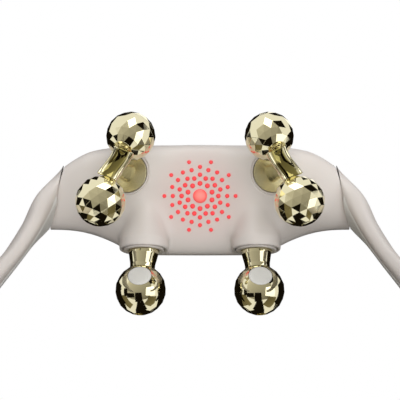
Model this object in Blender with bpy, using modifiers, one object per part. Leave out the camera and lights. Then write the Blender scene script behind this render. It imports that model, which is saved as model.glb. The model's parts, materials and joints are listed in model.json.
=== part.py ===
"""Worn neck and shoulder massager: a pillow-shaped body with two kneading heads of two faceted
balls each, two lower single-ball heads, a warm red light field and two hinged shoulder arms.

The face that meets the neck looks along -Y and its centre is the origin. X is across, Z is up.
"""
import math

import bmesh
import bpy
from mathutils import Matrix, Vector

MM = 0.001
SIDES = (("left", -1.0), ("right", 1.0))

# Fits shared by all pieces
GAP = 0.3 * MM
OVERRUN = 2.0 * MM
MERGE = 0.001 * MM
TIDY = 0.03 * MM

# Body shell
BODY_HALF_WIDTH = 104.2 * MM
BODY_TOP = 38.0 * MM
BODY_BOTTOM = 44.3 * MM
BODY_END_BOTTOM = 25.0 * MM
BODY_DEPTH = 46.0 * MM
BODY_END_DEPTH = 23.0 * MM
BODY_WALL = 2.2 * MM
SEAT_WIDTH = 2.2 * MM
SEAT_SINK = 0.5 * MM
SEAT_LENGTH = 12.0 * MM
SEAM_SLANT = 0.23
BODY_ROUNDNESS = 5.5
END_ROUNDNESS = 3.0
BODY_QUARTER_STEPS = 6
SPLIT_DEPTH_SHARE = 0.48
REST_FLAT = 0.8 * MM
REST_FACE_Y = BODY_DEPTH - REST_FLAT
# Each station: half-width share, top share, bottom share (0 at the end, 1 in the middle), depth share
BODY_STATION_SHARES = (
    (0.00, 1.000, 1.00, 1.00),
    (0.18, 1.000, 1.00, 1.00),
    (0.36, 1.000, 1.00, 0.99),
    (0.47, 0.985, 0.93, 0.96),
    (0.57, 0.960, 0.62, 0.90),
    (0.68, 0.930, 0.32, 0.78),
    (0.78, 0.860, 0.13, 0.58),
    (0.87, 0.765, 0.03, 0.33),
    (0.94, 0.685, 0.00, 0.13),
    (1.00, 0.590, 0.00, 0.00),
)

# Kneading turntables
HEAD_X = 53.5 * MM
HEAD_Z = 17.2 * MM
HEAD_CANT = math.radians(4.0)
HEAD_PITCH = math.radians(2.0)
DISC_RADIUS = 14.6 * MM
DISC_THICK = 2.4 * MM
DISC_SINK = 0.8 * MM
CUP_RADIUS = 16.6 * MM
CUP_WALL = 1.6 * MM
CUP_DEPTH = 7.5 * MM
HUB_RADIUS = 5.2 * MM
SHAFT_RADIUS = 3.0 * MM
BUSH_WALL = 1.6 * MM
UPPER_SHAFT_END = 31.0 * MM

# Double-ball arm, measured outward from the turntable's seat and out along the row of its two balls
BALL_RADIUS = 17.0 * MM
BALL_ORBIT = 24.0 * MM
LOW_BALL_HEIGHT = 33.6 * MM
HIGH_BALL_HEIGHT = 50.4 * MM
LOW_AXLE_TILT = math.radians(-47.0)
HIGH_AXLE_TILT = math.radians(14.0)
BALL_ROW_LEAN = math.radians(21.0)
STRAP_HEIGHT = 46.4 * MM
STRAP_WIDTH = 12.0 * MM
STRAP_THICK = 5.0 * MM
STRAP_SWAY = 1.6 * MM
STRAP_WAIST_SHARE = 0.86
STRAP_RINGS = 6
POST_RADIUS = 6.4 * MM
# Each section of the column: height share, length share, width share
POST_SECTION_SHARES = ((0.00, 1.15, 0.90), (0.45, 0.95, 0.72), (1.00, 1.00, 0.86))
OBLONG_ROUNDNESS = 3.0
OBLONG_STEPS = 12
AXLE_RADIUS = 2.6 * MM
AXLE_COLLAR_RADIUS = 4.4 * MM
BALL_POLE_RADIUS = 6.4 * MM
BALL_CAP_THICK = 1.6 * MM
CAP_CROWN_SHARES = (0.60, 0.35)
FACETS_ROUND = 16
FACET_BANDS = 6

# Lower heads
LOWER_X = 40.6 * MM
LOWER_Y = -3.0 * MM
LOWER_Z = -39.2 * MM
LOWER_TILT = math.radians(18.1)
LOWER_BALL_RADIUS = 18.0 * MM
LOWER_BALL_REACH = 29.0 * MM
LOWER_LEAN = math.radians(3.0)
BOSS_RADIUS = 17.2 * MM
BOSS_ROOT_RADIUS = 6.0 * MM
BOSS_STRAIGHT = 8.0 * MM
BOSS_LENGTH = 42.0 * MM
BOSS_WALL = 1.8 * MM
COLLAR_RADIUS = 14.6 * MM
COLLAR_HEIGHT = 4.2 * MM
COLLAR_STAND = 0.8 * MM
NECK_TOP_RADIUS = 10.9 * MM
NECK_END_RADIUS = 8.9 * MM
NECK_ROOT_SHARE = 0.9
NECK_FLANGE_RADIUS = 13.4 * MM
NECK_FLANGE_THICK = 1.0 * MM
LOWER_SEAT_THICK = 2.0 * MM
LOWER_SLEEVE = 9.0 * MM
SPIGOT_RADIUS = 4.2 * MM
SPIGOT_LENGTH = 9.0 * MM
LOWER_SHAFT_RADIUS = 3.2 * MM
LOWER_SHAFT_END = 28.5 * MM
PAD_RADIUS = 8.3 * MM
PAD_THICK = 2.2 * MM
PAD_TILT = math.radians(46.0)

# Drive
WORM_RADIUS = 4.6 * MM
WORM_ROOT_RADIUS = 3.4 * MM
WORM_LENGTH = 20.0 * MM
WORM_STARTS = 2
MOTOR_RADIUS = 8.0 * MM
MOTOR_LENGTH = 38.0 * MM
MOTOR_SHAFT_RADIUS = 1.5 * MM
# Clear space between the upper motor and the battery, and between a wheel and its bearing
DRIVE_SPACE = 2.2 * MM
BEARING_SPACE = 5.0 * MM
UPPER_WHEEL_RADIUS = 13.2 * MM
UPPER_WHEEL_TEETH = 12
LOWER_WHEEL_RADIUS = 8.2 * MM
LOWER_WHEEL_TEETH = 8
LOWER_WHEEL_RISE = 22.7 * MM
WHEEL_THICK = 5.0 * MM
TOOTH_DEPTH = 1.6 * MM
TOOTH_ROOT_SHARE = 0.34
TOOTH_TIP_SHARE = 0.14
WORM_SIDES = 8
WORM_RINGS = 13

# Light field, seen from the front
DOME_RADIUS = 5.1 * MM
DOME_STAND = 1.6 * MM
DOME_CROWN_SHARES = (0.62, 0.80)
DOTS_PER_RING = 10
# Lamps stand behind this ring's dots
LAMP_RING_RADIUS = 19.75 * MM
# Each ring: its radius, the radius of its dots, 1 where it starts half a step round
DOT_RINGS = (
    (9.15 * MM, 1.55 * MM, 1),
    (13.35 * MM, 1.45 * MM, 0),
    (15.50 * MM, 1.35 * MM, 1),
    (LAMP_RING_RADIUS, 1.30 * MM, 0),
    (21.15 * MM, 1.25 * MM, 1),
    (25.85 * MM, 1.20 * MM, 0),
)
DOT_STAND = 0.25 * MM
DOT_SIDES = 6
LENS_RADIUS = 28.0 * MM
LENS_FRONT_Y = 4.1 * MM
LENS_THICK = 1.6 * MM
LED_BOARD_THICK = 1.2 * MM
LED_SIZE = 0.9 * MM

# Shoulder arms, right side; the left one mirrors it. Each point of the path: out from the body's
# half width, along Y, up.
ARM_PATH = (
    (9.6 * MM, -2.0 * MM, -10.2 * MM),
    (14.5 * MM, -24.0 * MM, -23.9 * MM),
    (18.0 * MM, -60.0 * MM, -40.0 * MM),
    (22.3 * MM, -98.0 * MM, -53.4 * MM),
    (21.8 * MM, -132.0 * MM, -61.4 * MM),
    (17.6 * MM, -160.0 * MM, -63.6 * MM),
)
ARM_WIDTHS = (36.9 * MM, 34.8 * MM, 30.1 * MM, 27.3 * MM, 25.1 * MM, 22.6 * MM)
ARM_THICKS = (16.6 * MM, 13.9 * MM, 11.8 * MM, 12.0 * MM, 12.0 * MM, 11.2 * MM)
ARM_LEANS = (SEAM_SLANT, 0.36, 0.59, 0.76, 0.72, 0.61, 0.49)
# How far each section is turned square to the arm's path
ARM_SQUARE_SHARES = (0.0, 0.5, 0.9, 1.0, 1.0, 1.0, 1.0)
ARM_ROUNDNESS = 2.7
ARM_RING_POINTS = 16
PATH_STEP_SHARE = 0.02
ARM_RINGS = 17
ARM_TIP_RINGS = 3
ARM_WALL = 2.2 * MM
SEAM_GAP = 0.8 * MM
BACK_RELIEF = 3.4 * MM
PAD_BORDER = 4.6 * MM
PAD_SHEET = 2.0 * MM
PAD_PROUD = 0.5 * MM
PAD_SPAN_SHARES = (0.150, 0.930)
PAD_POINTS = 5
TIP_LENGTH = 9.0 * MM
TIP_FLAT_SHARE = 0.35
CAVITY_SPAN_SHARES = (0.18, 0.88)
PAD_LEDGE = 2.2 * MM

# Arm hinge
KNUCKLE_RADIUS = 6.6 * MM
KNUCKLE_HEIGHT = 28.0 * MM
HINGE_INSET = 9.5 * MM
TONGUE_SHARES = (1.70, 0.94)
PIN_RADIUS = 2.0 * MM
PIN_LENGTH = 37.0 * MM
LUG_RADIUS = 5.5 * MM
LUG_HEIGHT = 3.4 * MM
LUG_WEB_END = 3.0 * MM
LUG_ARC_STEPS = 5

# Controls in the right arm
BUTTON_SHARES = (("power_button", 0.665), ("mode_button", 0.730), ("heat_button", 0.795))
KEY_POST_SHARES = (0.628, 0.832)
BUTTON_RADIUS = 4.6 * MM
BUTTON_STAND = 1.1 * MM
BUTTON_FLANGE = 1.0 * MM
BUTTON_CROWN_SHARES = (0.84, 0.55)
BUTTON_TRAVEL = 0.8 * MM
FLANGE_THICK = 0.8 * MM
SWITCH_SIZE = 3.4 * MM
SWITCH_HEIGHT = 0.8 * MM
BUTTON_FOOT = 1.3 * MM
KEY_BOARD_WIDTH = 8.0 * MM
KEY_BOARD_LENGTH = 48.0 * MM
KEY_BOARD_THICK = 1.0 * MM

# Inside the body
CRADLE_WIDTH = 20.0 * MM
CRADLE_WALL = 1.8 * MM
CRADLE_FRONT_Y = 12.0 * MM
BATTERY_SIZE = (58.0 * MM, 7.0 * MM, 36.0 * MM)
BOARD_SIZE = (62.0 * MM, 1.6 * MM, 17.0 * MM)
BOARD_SPACE = 2.8 * MM
BOARD_POST_SHARE = 0.4
BOARD_Z = 22.5 * MM
POST_SIZE = 3.0 * MM
PORT_SIZE = (9.0 * MM, 3.3 * MM, 7.3 * MM)
PORT_WALL = 0.4 * MM
PORT_INSET = 14.2 * MM
PORT_Y = REST_FACE_Y - PORT_INSET
PORT_TONGUE_SHARES = (0.72, 0.26, 0.80)
PORT_LIP = 0.1 * MM
PORT_BOARD_RISE = 0.9 * MM
PORT_BOARD_SIZE = (16.0 * MM, 1.2 * MM, 9.0 * MM)
SCREW_INSET = 24.2 * MM
SCREW_X = BODY_HALF_WIDTH - SCREW_INSET
SCREW_TOP_Z = 16.0 * MM
SCREW_BOTTOM_Z = -11.0 * MM
SCREW_RADIUS = 1.5 * MM
SCREW_HEAD_RADIUS = 2.9 * MM
SCREW_HEAD_HEIGHT = 1.8 * MM
SCREW_BOSS_RADIUS = 4.0 * MM
SCREW_LENGTH = 14.0 * MM

ROUND_SIDES = 20
SMALL_SIDES = 10
SCREW_SIDES = 8
SMOOTH_ANGLE = math.radians(35.0)


def clear_scene():
    """Remove the objects that the scene starts with."""
    for thing in list(bpy.data.objects):
        bpy.data.objects.remove(thing, do_unlink=True)


def make_collection(name):
    """A new collection linked to the scene."""
    collection = bpy.data.collections.new(name)
    bpy.context.scene.collection.children.link(collection)
    return collection


clear_scene()
PARTS = make_collection("neck_shoulder_massager")
CUTTERS = make_collection("cutters")


def make_material(name, colour, roughness, metallic=0.0, glow=0.0):
    """A plain surface of one colour."""
    material = bpy.data.materials.new(name)
    material.use_nodes = True
    shader = material.node_tree.nodes["Principled BSDF"]
    shader.inputs["Base Color"].default_value = (*colour, 1.0)
    shader.inputs["Roughness"].default_value = roughness
    shader.inputs["Metallic"].default_value = metallic
    if glow:
        shader.inputs["Emission Color"].default_value = (*colour, 1.0)
        shader.inputs["Emission Strength"].default_value = glow
    material.diffuse_color = (*colour, 1.0)
    return material


SHELL = make_material("warm_white_shell", (0.68, 0.64, 0.60), 0.42)
PAD_SKIN = make_material("soft_arm_pad", (0.76, 0.75, 0.73), 0.60)
GOLD = make_material("champagne_gold_plate", (0.80, 0.76, 0.52), 0.10, 1.0)
PALE = make_material("pale_contact_pad", (0.66, 0.65, 0.62), 0.30)
RED = make_material("red_light_lens", (0.90, 0.10, 0.08), 0.25, glow=1.0)
STEEL = make_material("bright_steel", (0.60, 0.60, 0.60), 0.25, 1.0)
BRASS = make_material("bush_bronze", (0.65, 0.45, 0.22), 0.35, 1.0)
NYLON = make_material("gear_nylon", (0.82, 0.80, 0.72), 0.50)
BOARD = make_material("circuit_board_green", (0.03, 0.20, 0.09), 0.45)
DARK = make_material("cradle_grey", (0.12, 0.12, 0.13), 0.55)
CELL = make_material("battery_silver", (0.45, 0.47, 0.50), 0.40)


def add_object(name, mesh, material, collection=None, matrix=None, sharp=SMOOTH_ANGLE):
    """Link a mesh as one named object with one material."""
    thing = bpy.data.objects.new(name, mesh)
    (collection or PARTS).objects.link(thing)
    if material:
        mesh.materials.append(material)
    if matrix is not None:
        thing.matrix_world = matrix
    if sharp is not None and mesh.polygons:
        mesh.shade_smooth()
        mesh.set_sharp_from_angle(angle=sharp)
    if collection is CUTTERS:
        thing.hide_render = True
        thing.display_type = "WIRE"
    return thing


def mesh_from(name, build):
    """A mesh whose faces are made by build(bm) and turned to face out."""
    bm = bmesh.new()
    build(bm)
    bmesh.ops.recalc_face_normals(bm, faces=bm.faces)
    mesh = bpy.data.meshes.new(name)
    bm.to_mesh(mesh)
    bm.free()
    return mesh


def cylinder(name, radius, start, end, matrix, material=None, collection=None, sides=ROUND_SIDES,
             end_radius=None):
    """A round bar or cone from start to end along the local Z of the matrix."""
    def build(bm):
        bmesh.ops.create_cone(
            bm, cap_ends=True, segments=sides, radius1=radius, radius2=end_radius or radius,
            depth=abs(end - start), matrix=Matrix.Translation((0, 0, (start + end) / 2)))
    return add_object(name, mesh_from(name, build), material, collection, matrix)


def box(name, size, centre, matrix=None, material=None, collection=None):
    """A block of the given size about its centre."""
    def build(bm):
        bmesh.ops.create_cube(bm, size=1.0, matrix=Matrix.Translation(centre) @ Matrix.Diagonal((*size, 1.0)))
    return add_object(name, mesh_from(name, build), material, collection, matrix or Matrix(), sharp=None)


def turned(name, profile, matrix, material=None, collection=None, sides=ROUND_SIDES):
    """A turned piece: (radius, height) points down the outer side, turned about local Z."""
    mesh = bpy.data.meshes.new(name)
    closed = profile[0] == profile[-1]
    points = [(radius, 0.0, height) for radius, height in (profile[:-1] if closed else profile)]
    edges = [(i, (i + 1) % len(points)) for i in range(len(points) if closed else len(points) - 1)]
    mesh.from_pydata(points, edges, [])
    thing = add_object(name, mesh, material, collection, matrix)
    screw = thing.modifiers.new("turn", "SCREW")
    screw.axis = "Z"
    screw.steps = sides
    screw.render_steps = sides
    screw.use_merge_vertices = True
    screw.merge_threshold = MERGE
    screw.use_smooth_shade = True
    return thing


def ring_profile(outer, inner, top, bottom):
    """A closed tube section for turned()."""
    return ((inner, top), (outer, top), (outer, bottom), (inner, bottom), (inner, top))


def boolean(target, other, operation):
    """Cut or join a piece with another one, which becomes a hidden helper."""
    modifier = target.modifiers.new(other.name, "BOOLEAN")
    modifier.operation = operation
    modifier.object = other
    return target


def cut(target, *cutters):
    """Take the cutters away from the target."""
    for cutter in cutters:
        boolean(target, cutter, "DIFFERENCE")
    return target


def join(target, *helpers):
    """Grow the target by the helpers."""
    for helper in helpers:
        boolean(target, helper, "UNION")
    return target


def tidy(target):
    """Merge the points that lie closer together than the piece's detail."""
    weld = target.modifiers.new("tidy", "WELD")
    weld.merge_threshold = TIDY
    return target


def loft(name, rings, material=None, collection=None, sharp=SMOOTH_ANGLE):
    """A closed skin through rings of equal point counts, with flat ends."""
    def build(bm):
        rows = [[bm.verts.new(point) for point in ring] for ring in rings]
        count = len(rows[0])
        for first, second in zip(rows, rows[1:]):
            for i in range(count):
                j = (i + 1) % count
                bm.faces.new((first[i], first[j], second[j], second[i]))
        bm.faces.new(rows[0])
        bm.faces.new(list(reversed(rows[-1])))
        bmesh.ops.triangulate(bm, faces=bm.faces)
    return add_object(name, mesh_from(name, build), material, collection, Matrix(), sharp)


def superellipse(angle, power):
    """Unit point of a rounded square section."""
    c, s = math.cos(angle), math.sin(angle)
    reach = 2.0 / power
    return math.copysign(abs(c) ** reach, c), math.copysign(abs(s) ** reach, s)


def spread(first, last, count):
    """Evenly spaced values from the first to the last."""
    return [first + (last - first) * i / (count - 1) for i in range(count)]


def frame_matrix(origin, axis, side_hint):
    """A placement whose local Z runs along the axis and whose local X lies near the hint."""
    z = Vector(axis).normalized()
    x = Vector(side_hint)
    x = (x - z * x.dot(z)).normalized()
    y = z.cross(x)
    return Matrix.Translation(origin) @ Matrix((x, y, z)).transposed().to_4x4()


# Body shell

def body_sizes(share):
    """Top, bottom and depth of the body at a share of its half width."""
    for low, high in zip(BODY_STATION_SHARES, BODY_STATION_SHARES[1:]):
        if share <= high[0]:
            mix = (share - low[0]) / (high[0] - low[0])
            break
    else:
        high, low, mix = BODY_STATION_SHARES[-1], BODY_STATION_SHARES[-1], 0.0
    top, bottom, depth = (low[i] + (high[i] - low[i]) * mix for i in (1, 2, 3))
    return (BODY_TOP * top, -BODY_END_BOTTOM - (BODY_BOTTOM - BODY_END_BOTTOM) * bottom,
            BODY_END_DEPTH + (BODY_DEPTH - BODY_END_DEPTH) * depth)


def seam_x(height):
    """How far out the slanted arm seam lies at a height."""
    return BODY_HALF_WIDTH - SEAM_SLANT * height


def split_depth(share):
    """Depth of the split between the two shells at a share of the half width."""
    return body_sizes(min(abs(share), 1.0))[2] * SPLIT_DEPTH_SHARE


def body_power(share):
    """Roundness of the body's section at a share of its half width."""
    return BODY_ROUNDNESS + (END_ROUNDNESS - BODY_ROUNDNESS) * share


def body_ring(side, share, inset, front, rim, stretch=0.0):
    """One section of the body's front or back half, leaning to the seam's slant near the end."""
    top, bottom, depth = body_sizes(share)
    power = body_power(share)
    slant = SEAM_SLANT * share ** 4
    start = 1 if front else -1
    ring = []
    for i in range(2 * BODY_QUARTER_STEPS + 1):
        c, s = superellipse(math.pi / 2 * (start + i / BODY_QUARTER_STEPS), power)
        y = min(depth / 2 + (depth / 2 - inset) * c, REST_FACE_Y - inset)
        z = (top + bottom) / 2 + ((top - bottom) / 2 - inset) * s
        if i in (0, 2 * BODY_QUARTER_STEPS):
            y = split_depth(share) + rim
        ring.append(Vector((side * (BODY_HALF_WIDTH * share - slant * z + stretch), y, z)))
    return ring


def body_half(name, front, inset, rim, stretch=0.0, material=None, collection=None):
    """Half of the body's skin moved in by an inset, its rim and ends moved out past the split and seams."""
    shares = [station[0] for station in BODY_STATION_SHARES]
    rings = [body_ring(-1.0, share, inset, front, rim) for share in reversed(shares[1:])]
    rings += [body_ring(1.0, share, inset, front, rim) for share in shares]
    if stretch:
        rings.insert(0, body_ring(-1.0, 1.0, inset, front, rim, stretch))
        rings.append(body_ring(1.0, 1.0, inset, front, rim, stretch))
    return loft(name, rings, material, collection)


def head_frame(side):
    """Seat of a kneading turntable: Z out of the face, X towards its low ball."""
    axis = (side * math.sin(HEAD_CANT), -math.cos(HEAD_CANT), math.sin(HEAD_PITCH))
    row = (-side * math.sin(BALL_ROW_LEAN), 0.0, math.cos(BALL_ROW_LEAN))
    return frame_matrix((side * HEAD_X, 0.0, HEAD_Z), axis, row)


def lower_frame(side, lean=0.0):
    """Mouth of a lower boss: Z down and forward along the neck, X outward."""
    axis = Vector((0.0, -math.sin(LOWER_TILT), -math.cos(LOWER_TILT)))
    outward = Vector((side, 0.0, 0.0))
    axis = axis * math.cos(lean) + outward * math.sin(lean)
    return frame_matrix((side * LOWER_X, LOWER_Y, LOWER_Z), axis, outward)


def boss_profile(inset, mouth):
    """The lower boss: straight at its mouth, then narrowing up into the body."""
    return ((0.0, mouth), (BOSS_RADIUS - inset, mouth), (BOSS_RADIUS - inset, -BOSS_STRAIGHT),
            (BOSS_ROOT_RADIUS - inset, -BOSS_LENGTH), (0.0, -BOSS_LENGTH))


def hinge_point():
    """Centre of the right arm's hinge pin."""
    top, bottom, depth = body_sizes(1.0)
    middle = (top + bottom) / 2
    return Vector((seam_x(middle) - HINGE_INSET, depth / 2, middle))


def hinge_frame(side):
    """Arm hinge: Z up along the slanted seam, X outward, origin mid-height on the pin."""
    point = hinge_point()
    return frame_matrix((side * point.x, point.y, point.z), (-side * SEAM_SLANT, 0.0, 1.0), (side, 0.0, 0.0))


def hinge_lug(name, side, start, end):
    """Lug round the hinge pin, running straight into the face wall."""
    reach = hinge_point().y - LUG_WEB_END
    outline = [(-LUG_RADIUS, -side * reach), (LUG_RADIUS, -side * reach)]
    for i in range(LUG_ARC_STEPS + 1):
        angle = math.pi * i / LUG_ARC_STEPS
        outline.append((LUG_RADIUS * math.cos(angle), side * LUG_RADIUS * math.sin(angle)))
    frame = hinge_frame(side)
    rings = [[frame @ Vector((x, y, z)) for x, y in outline] for z in (start, end)]
    return loft(name, rings, collection=CUTTERS)


def dot_places():
    """Places and radii of the light dots on the face."""
    places = []
    for ring, dot, half_step in DOT_RINGS:
        for i in range(DOTS_PER_RING):
            angle = 2 * math.pi * (i + half_step / 2) / DOTS_PER_RING
            places.append((ring * math.cos(angle), ring * math.sin(angle), dot))
    return places


def face_matrix(x=0.0, y=0.0, z=0.0):
    """A place whose local Z points out of the face, towards -Y."""
    return frame_matrix((x, y, z), (0.0, -1.0, 0.0), (1.0, 0.0, 0.0))


def face_depth(x, z):
    """Depth of the face's outer skin at a place in the light field."""
    share = abs(x) / BODY_HALF_WIDTH
    top, bottom, depth = body_sizes(share)
    power = body_power(share)
    rise = abs(z - (top + bottom) / 2) / ((top - bottom) / 2)
    return depth / 2 * (1 - (1 - rise ** power) ** (1 / power))


def light_pins(name, extra, depth, stand):
    """The dome and all dots as round pins that stand out of the face and end at one depth."""
    def build(bm):
        spots = [(0.0, 0.0, DOME_RADIUS)] + dot_places()
        for x, z, radius in spots:
            sides = SMALL_SIDES if radius == DOME_RADIUS else DOT_SIDES
            front = face_depth(x, z) - stand
            place = face_matrix(x, (depth + front) / 2, z)
            bmesh.ops.create_cone(bm, cap_ends=True, segments=sides, radius1=radius + extra,
                                  radius2=radius + extra, depth=depth - front, matrix=place)
    return add_object(name, mesh_from(name, build), None, CUTTERS, Matrix())


def screw_places():
    """Where the four shell screws stand."""
    return [(side * SCREW_X, z, label + "_" + row)
            for label, side in SIDES for row, z in (("top", SCREW_TOP_Z), ("bottom", SCREW_BOTTOM_Z))]


def screw_split():
    """Depth of the shell split at the screws."""
    return body_sizes(SCREW_X / BODY_HALF_WIDTH)[2] * SPLIT_DEPTH_SHARE


def make_front_housing():
    """Inner shell with turntable seats, lower bosses, light holes, hinge lugs and screw posts."""
    shell = body_half("front_housing", True, 0.0, 0.0, material=SHELL)
    for label, side in SIDES:
        seat = cylinder("seat_" + label, CUP_RADIUS + SEAT_WIDTH, -SEAT_LENGTH, -SEAT_SINK,
                        head_frame(side), collection=CUTTERS)
        boss = turned("boss_" + label, boss_profile(0.0, 0.0), lower_frame(side), collection=CUTTERS)
        join(shell, seat, boss)
    room = body_half("room_front", True, BODY_WALL, OVERRUN, OVERRUN, collection=CUTTERS)
    for label, side in SIDES:
        join(room, turned("boss_room_" + label, boss_profile(BOSS_WALL, OVERRUN), lower_frame(side),
                          collection=CUTTERS))
    cut(shell, room)
    tidy(shell)
    for label, side in SIDES:
        frame = hinge_frame(side)
        for row, sign in (("top", 1.0), ("bottom", -1.0)):
            near = sign * (KNUCKLE_HEIGHT / 2 + GAP)
            far = sign * (KNUCKLE_HEIGHT / 2 + GAP + LUG_HEIGHT)
            join(shell, hinge_lug(f"lug_{label}_{row}", side, near, far))
        cut(shell, cylinder("pin_hole_" + label, PIN_RADIUS + GAP, -PIN_LENGTH / 2 - GAP,
                            PIN_LENGTH / 2 + GAP, frame, collection=CUTTERS, sides=SMALL_SIDES))
        cut(shell, cylinder("cup_hole_" + label, CUP_RADIUS + GAP, -SEAT_LENGTH - OVERRUN, OVERRUN,
                            head_frame(side), collection=CUTTERS))
    for x, z, label in screw_places():
        post = cylinder("screw_post_" + label, SCREW_BOSS_RADIUS, -screw_split(), -BODY_WALL / 2,
                        face_matrix(x, 0.0, z), collection=CUTTERS, sides=SCREW_SIDES)
        join(shell, post)
        cut(shell, cylinder("screw_hole_" + label, SCREW_RADIUS + GAP, -screw_split() - OVERRUN,
                            -BODY_WALL - OVERRUN, face_matrix(x, 0.0, z), collection=CUTTERS,
                            sides=SCREW_SIDES))
    cut(shell, light_pins("light_holes", GAP, LENS_FRONT_Y, OVERRUN))
    return shell


def make_back_cover():
    """Outer shell with a flat rest face, screw tubes, board posts and the charging slot."""
    shell = body_half("back_cover", False, 0.0, GAP, material=SHELL)
    cut(shell, body_half("room_back", False, BODY_WALL, -OVERRUN, OVERRUN, collection=CUTTERS))
    tidy(shell)
    floor = screw_split() + SCREW_BOSS_RADIUS
    back = body_sizes(SCREW_X / BODY_HALF_WIDTH)[2]
    tube = SCREW_BOSS_RADIUS + SCREW_RADIUS
    limit = body_half("tube_limit", False, GAP, GAP, collection=CUTTERS)
    for x, z, label in screw_places():
        post = cylinder("screw_tube_" + label, tube, -BODY_DEPTH, -screw_split() - GAP,
                        face_matrix(x, 0.0, z), collection=CUTTERS, sides=SCREW_SIDES)
        join(shell, boolean(post, limit, "INTERSECT"))
    for sign in (-1.0, 1.0):
        x = sign * BOARD_SIZE[0] * BOARD_POST_SHARE
        start = board_front() + BOARD_SIZE[1] + GAP
        length = REST_FACE_Y - BODY_WALL / 2 - start
        join(shell, box(f"board_post_{sign}", (POST_SIZE, length, POST_SIZE),
                        (x, start + length / 2, BOARD_Z), collection=CUTTERS))
    for x, z, label in screw_places():
        cut(shell, cylinder("screw_pass_" + label, SCREW_RADIUS + GAP, -back, -screw_split() + OVERRUN,
                            face_matrix(x, 0.0, z), collection=CUTTERS, sides=SCREW_SIDES))
        cut(shell, cylinder("screw_head_room_" + label, SCREW_HEAD_RADIUS + GAP, -back - OVERRUN,
                            -floor, face_matrix(x, 0.0, z), collection=CUTTERS, sides=SCREW_SIDES))
    slot = (PORT_SIZE[0] + 2 * GAP, PORT_SIZE[1] + 2 * GAP, PORT_SIZE[2] + OVERRUN)
    cut(shell, box("port_slot", slot, (0.0, PORT_Y, -BODY_BOTTOM + slot[2] / 2 - OVERRUN),
                   collection=CUTTERS))
    return shell


# Light field

def make_light_lens():
    """Red lens plate whose dome and dots fill the holes of the face."""
    near = LENS_FRONT_Y
    lens = cylinder("light_lens", LENS_RADIUS, -near - LENS_THICK, -near, face_matrix(), RED)
    join(lens, light_pins("dot_pins", 0.0, near + LENS_THICK / 2, DOT_STAND))
    crown, rise = DOME_CROWN_SHARES
    dome = turned("dome", ((0.0, DOME_STAND), (DOME_RADIUS * crown, DOME_STAND * rise),
                           (DOME_RADIUS, DOT_STAND), (DOME_RADIUS, -near), (0.0, -near)),
                  face_matrix(), collection=CUTTERS, sides=SMALL_SIDES)
    return join(lens, dome)


def led_board_front():
    """Depth of the light board's front face."""
    return LENS_FRONT_Y + LENS_THICK + GAP + LED_SIZE


def make_light_board():
    """Round circuit board with a red lamp behind each tenth of the field."""
    front = led_board_front()
    board = cylinder("light_board", LENS_RADIUS, -front - LED_BOARD_THICK, -front, face_matrix(), BOARD)
    spots = [(0.0, 0.0)] + [(LAMP_RING_RADIUS * math.cos(a), LAMP_RING_RADIUS * math.sin(a))
                            for a in (2 * math.pi * i / DOTS_PER_RING for i in range(DOTS_PER_RING))]
    for i, (x, z) in enumerate(spots):
        lamp = (2 * LED_SIZE, 2 * LED_SIZE, 2 * LED_SIZE)
        join(board, box(f"lamp_{i}", lamp, (x, front, z), collection=CUTTERS))
    return board


# Drive

def battery_front():
    """Depth of the battery's front face, which the motor cradle backs onto."""
    return REST_FACE_Y - BODY_WALL - 2 * GAP - BATTERY_SIZE[1]


def board_front():
    """Depth of the control board's front face."""
    return battery_front() - BOARD_SPACE - BOARD_SIZE[1]


def upper_drive_place():
    """Depth and height of the upper worm shaft, just clear of its wheels."""
    y = battery_front() - MOTOR_RADIUS - DRIVE_SPACE
    wheel_z = HEAD_Z - y * math.sin(HEAD_PITCH)
    return y, wheel_z - UPPER_WHEEL_RADIUS - WORM_RADIUS - GAP


def lower_drive_place():
    """Depth and height of the lower worm shaft, just clear of its wheels."""
    across = LOWER_WHEEL_RADIUS + WORM_RADIUS + GAP
    y = LOWER_Y + LOWER_WHEEL_RISE * math.sin(LOWER_TILT) + across * math.cos(LOWER_TILT)
    z = LOWER_Z + LOWER_WHEEL_RISE * math.cos(LOWER_TILT) - across * math.sin(LOWER_TILT)
    return y, z


def across_matrix(y, z):
    """A place whose local Z runs along +X."""
    return frame_matrix((0.0, y, z), (1.0, 0.0, 0.0), (0.0, 1.0, 0.0))


def worm(name, centre, hand, pitch, matrix):
    """Threaded sleeve along local Z, its thread wound to the right or the left."""
    rings = []
    turns = WORM_LENGTH / pitch
    middle = (WORM_RADIUS + WORM_ROOT_RADIUS) / 2
    swing = (WORM_RADIUS - WORM_ROOT_RADIUS) / 2
    for i in range(WORM_RINGS):
        share = i / (WORM_RINGS - 1)
        z = centre + (share - 0.5) * WORM_LENGTH
        ring = []
        for j in range(WORM_SIDES):
            angle = 2 * math.pi * j / WORM_SIDES
            wave = math.cos(WORM_STARTS * angle - hand * 2 * math.pi * turns * (share - 0.5))
            radius = middle + swing * wave
            ring.append(matrix @ Vector((radius * math.cos(angle), radius * math.sin(angle), z)))
        rings.append(ring)
    return loft(name, rings, collection=CUTTERS)


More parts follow.
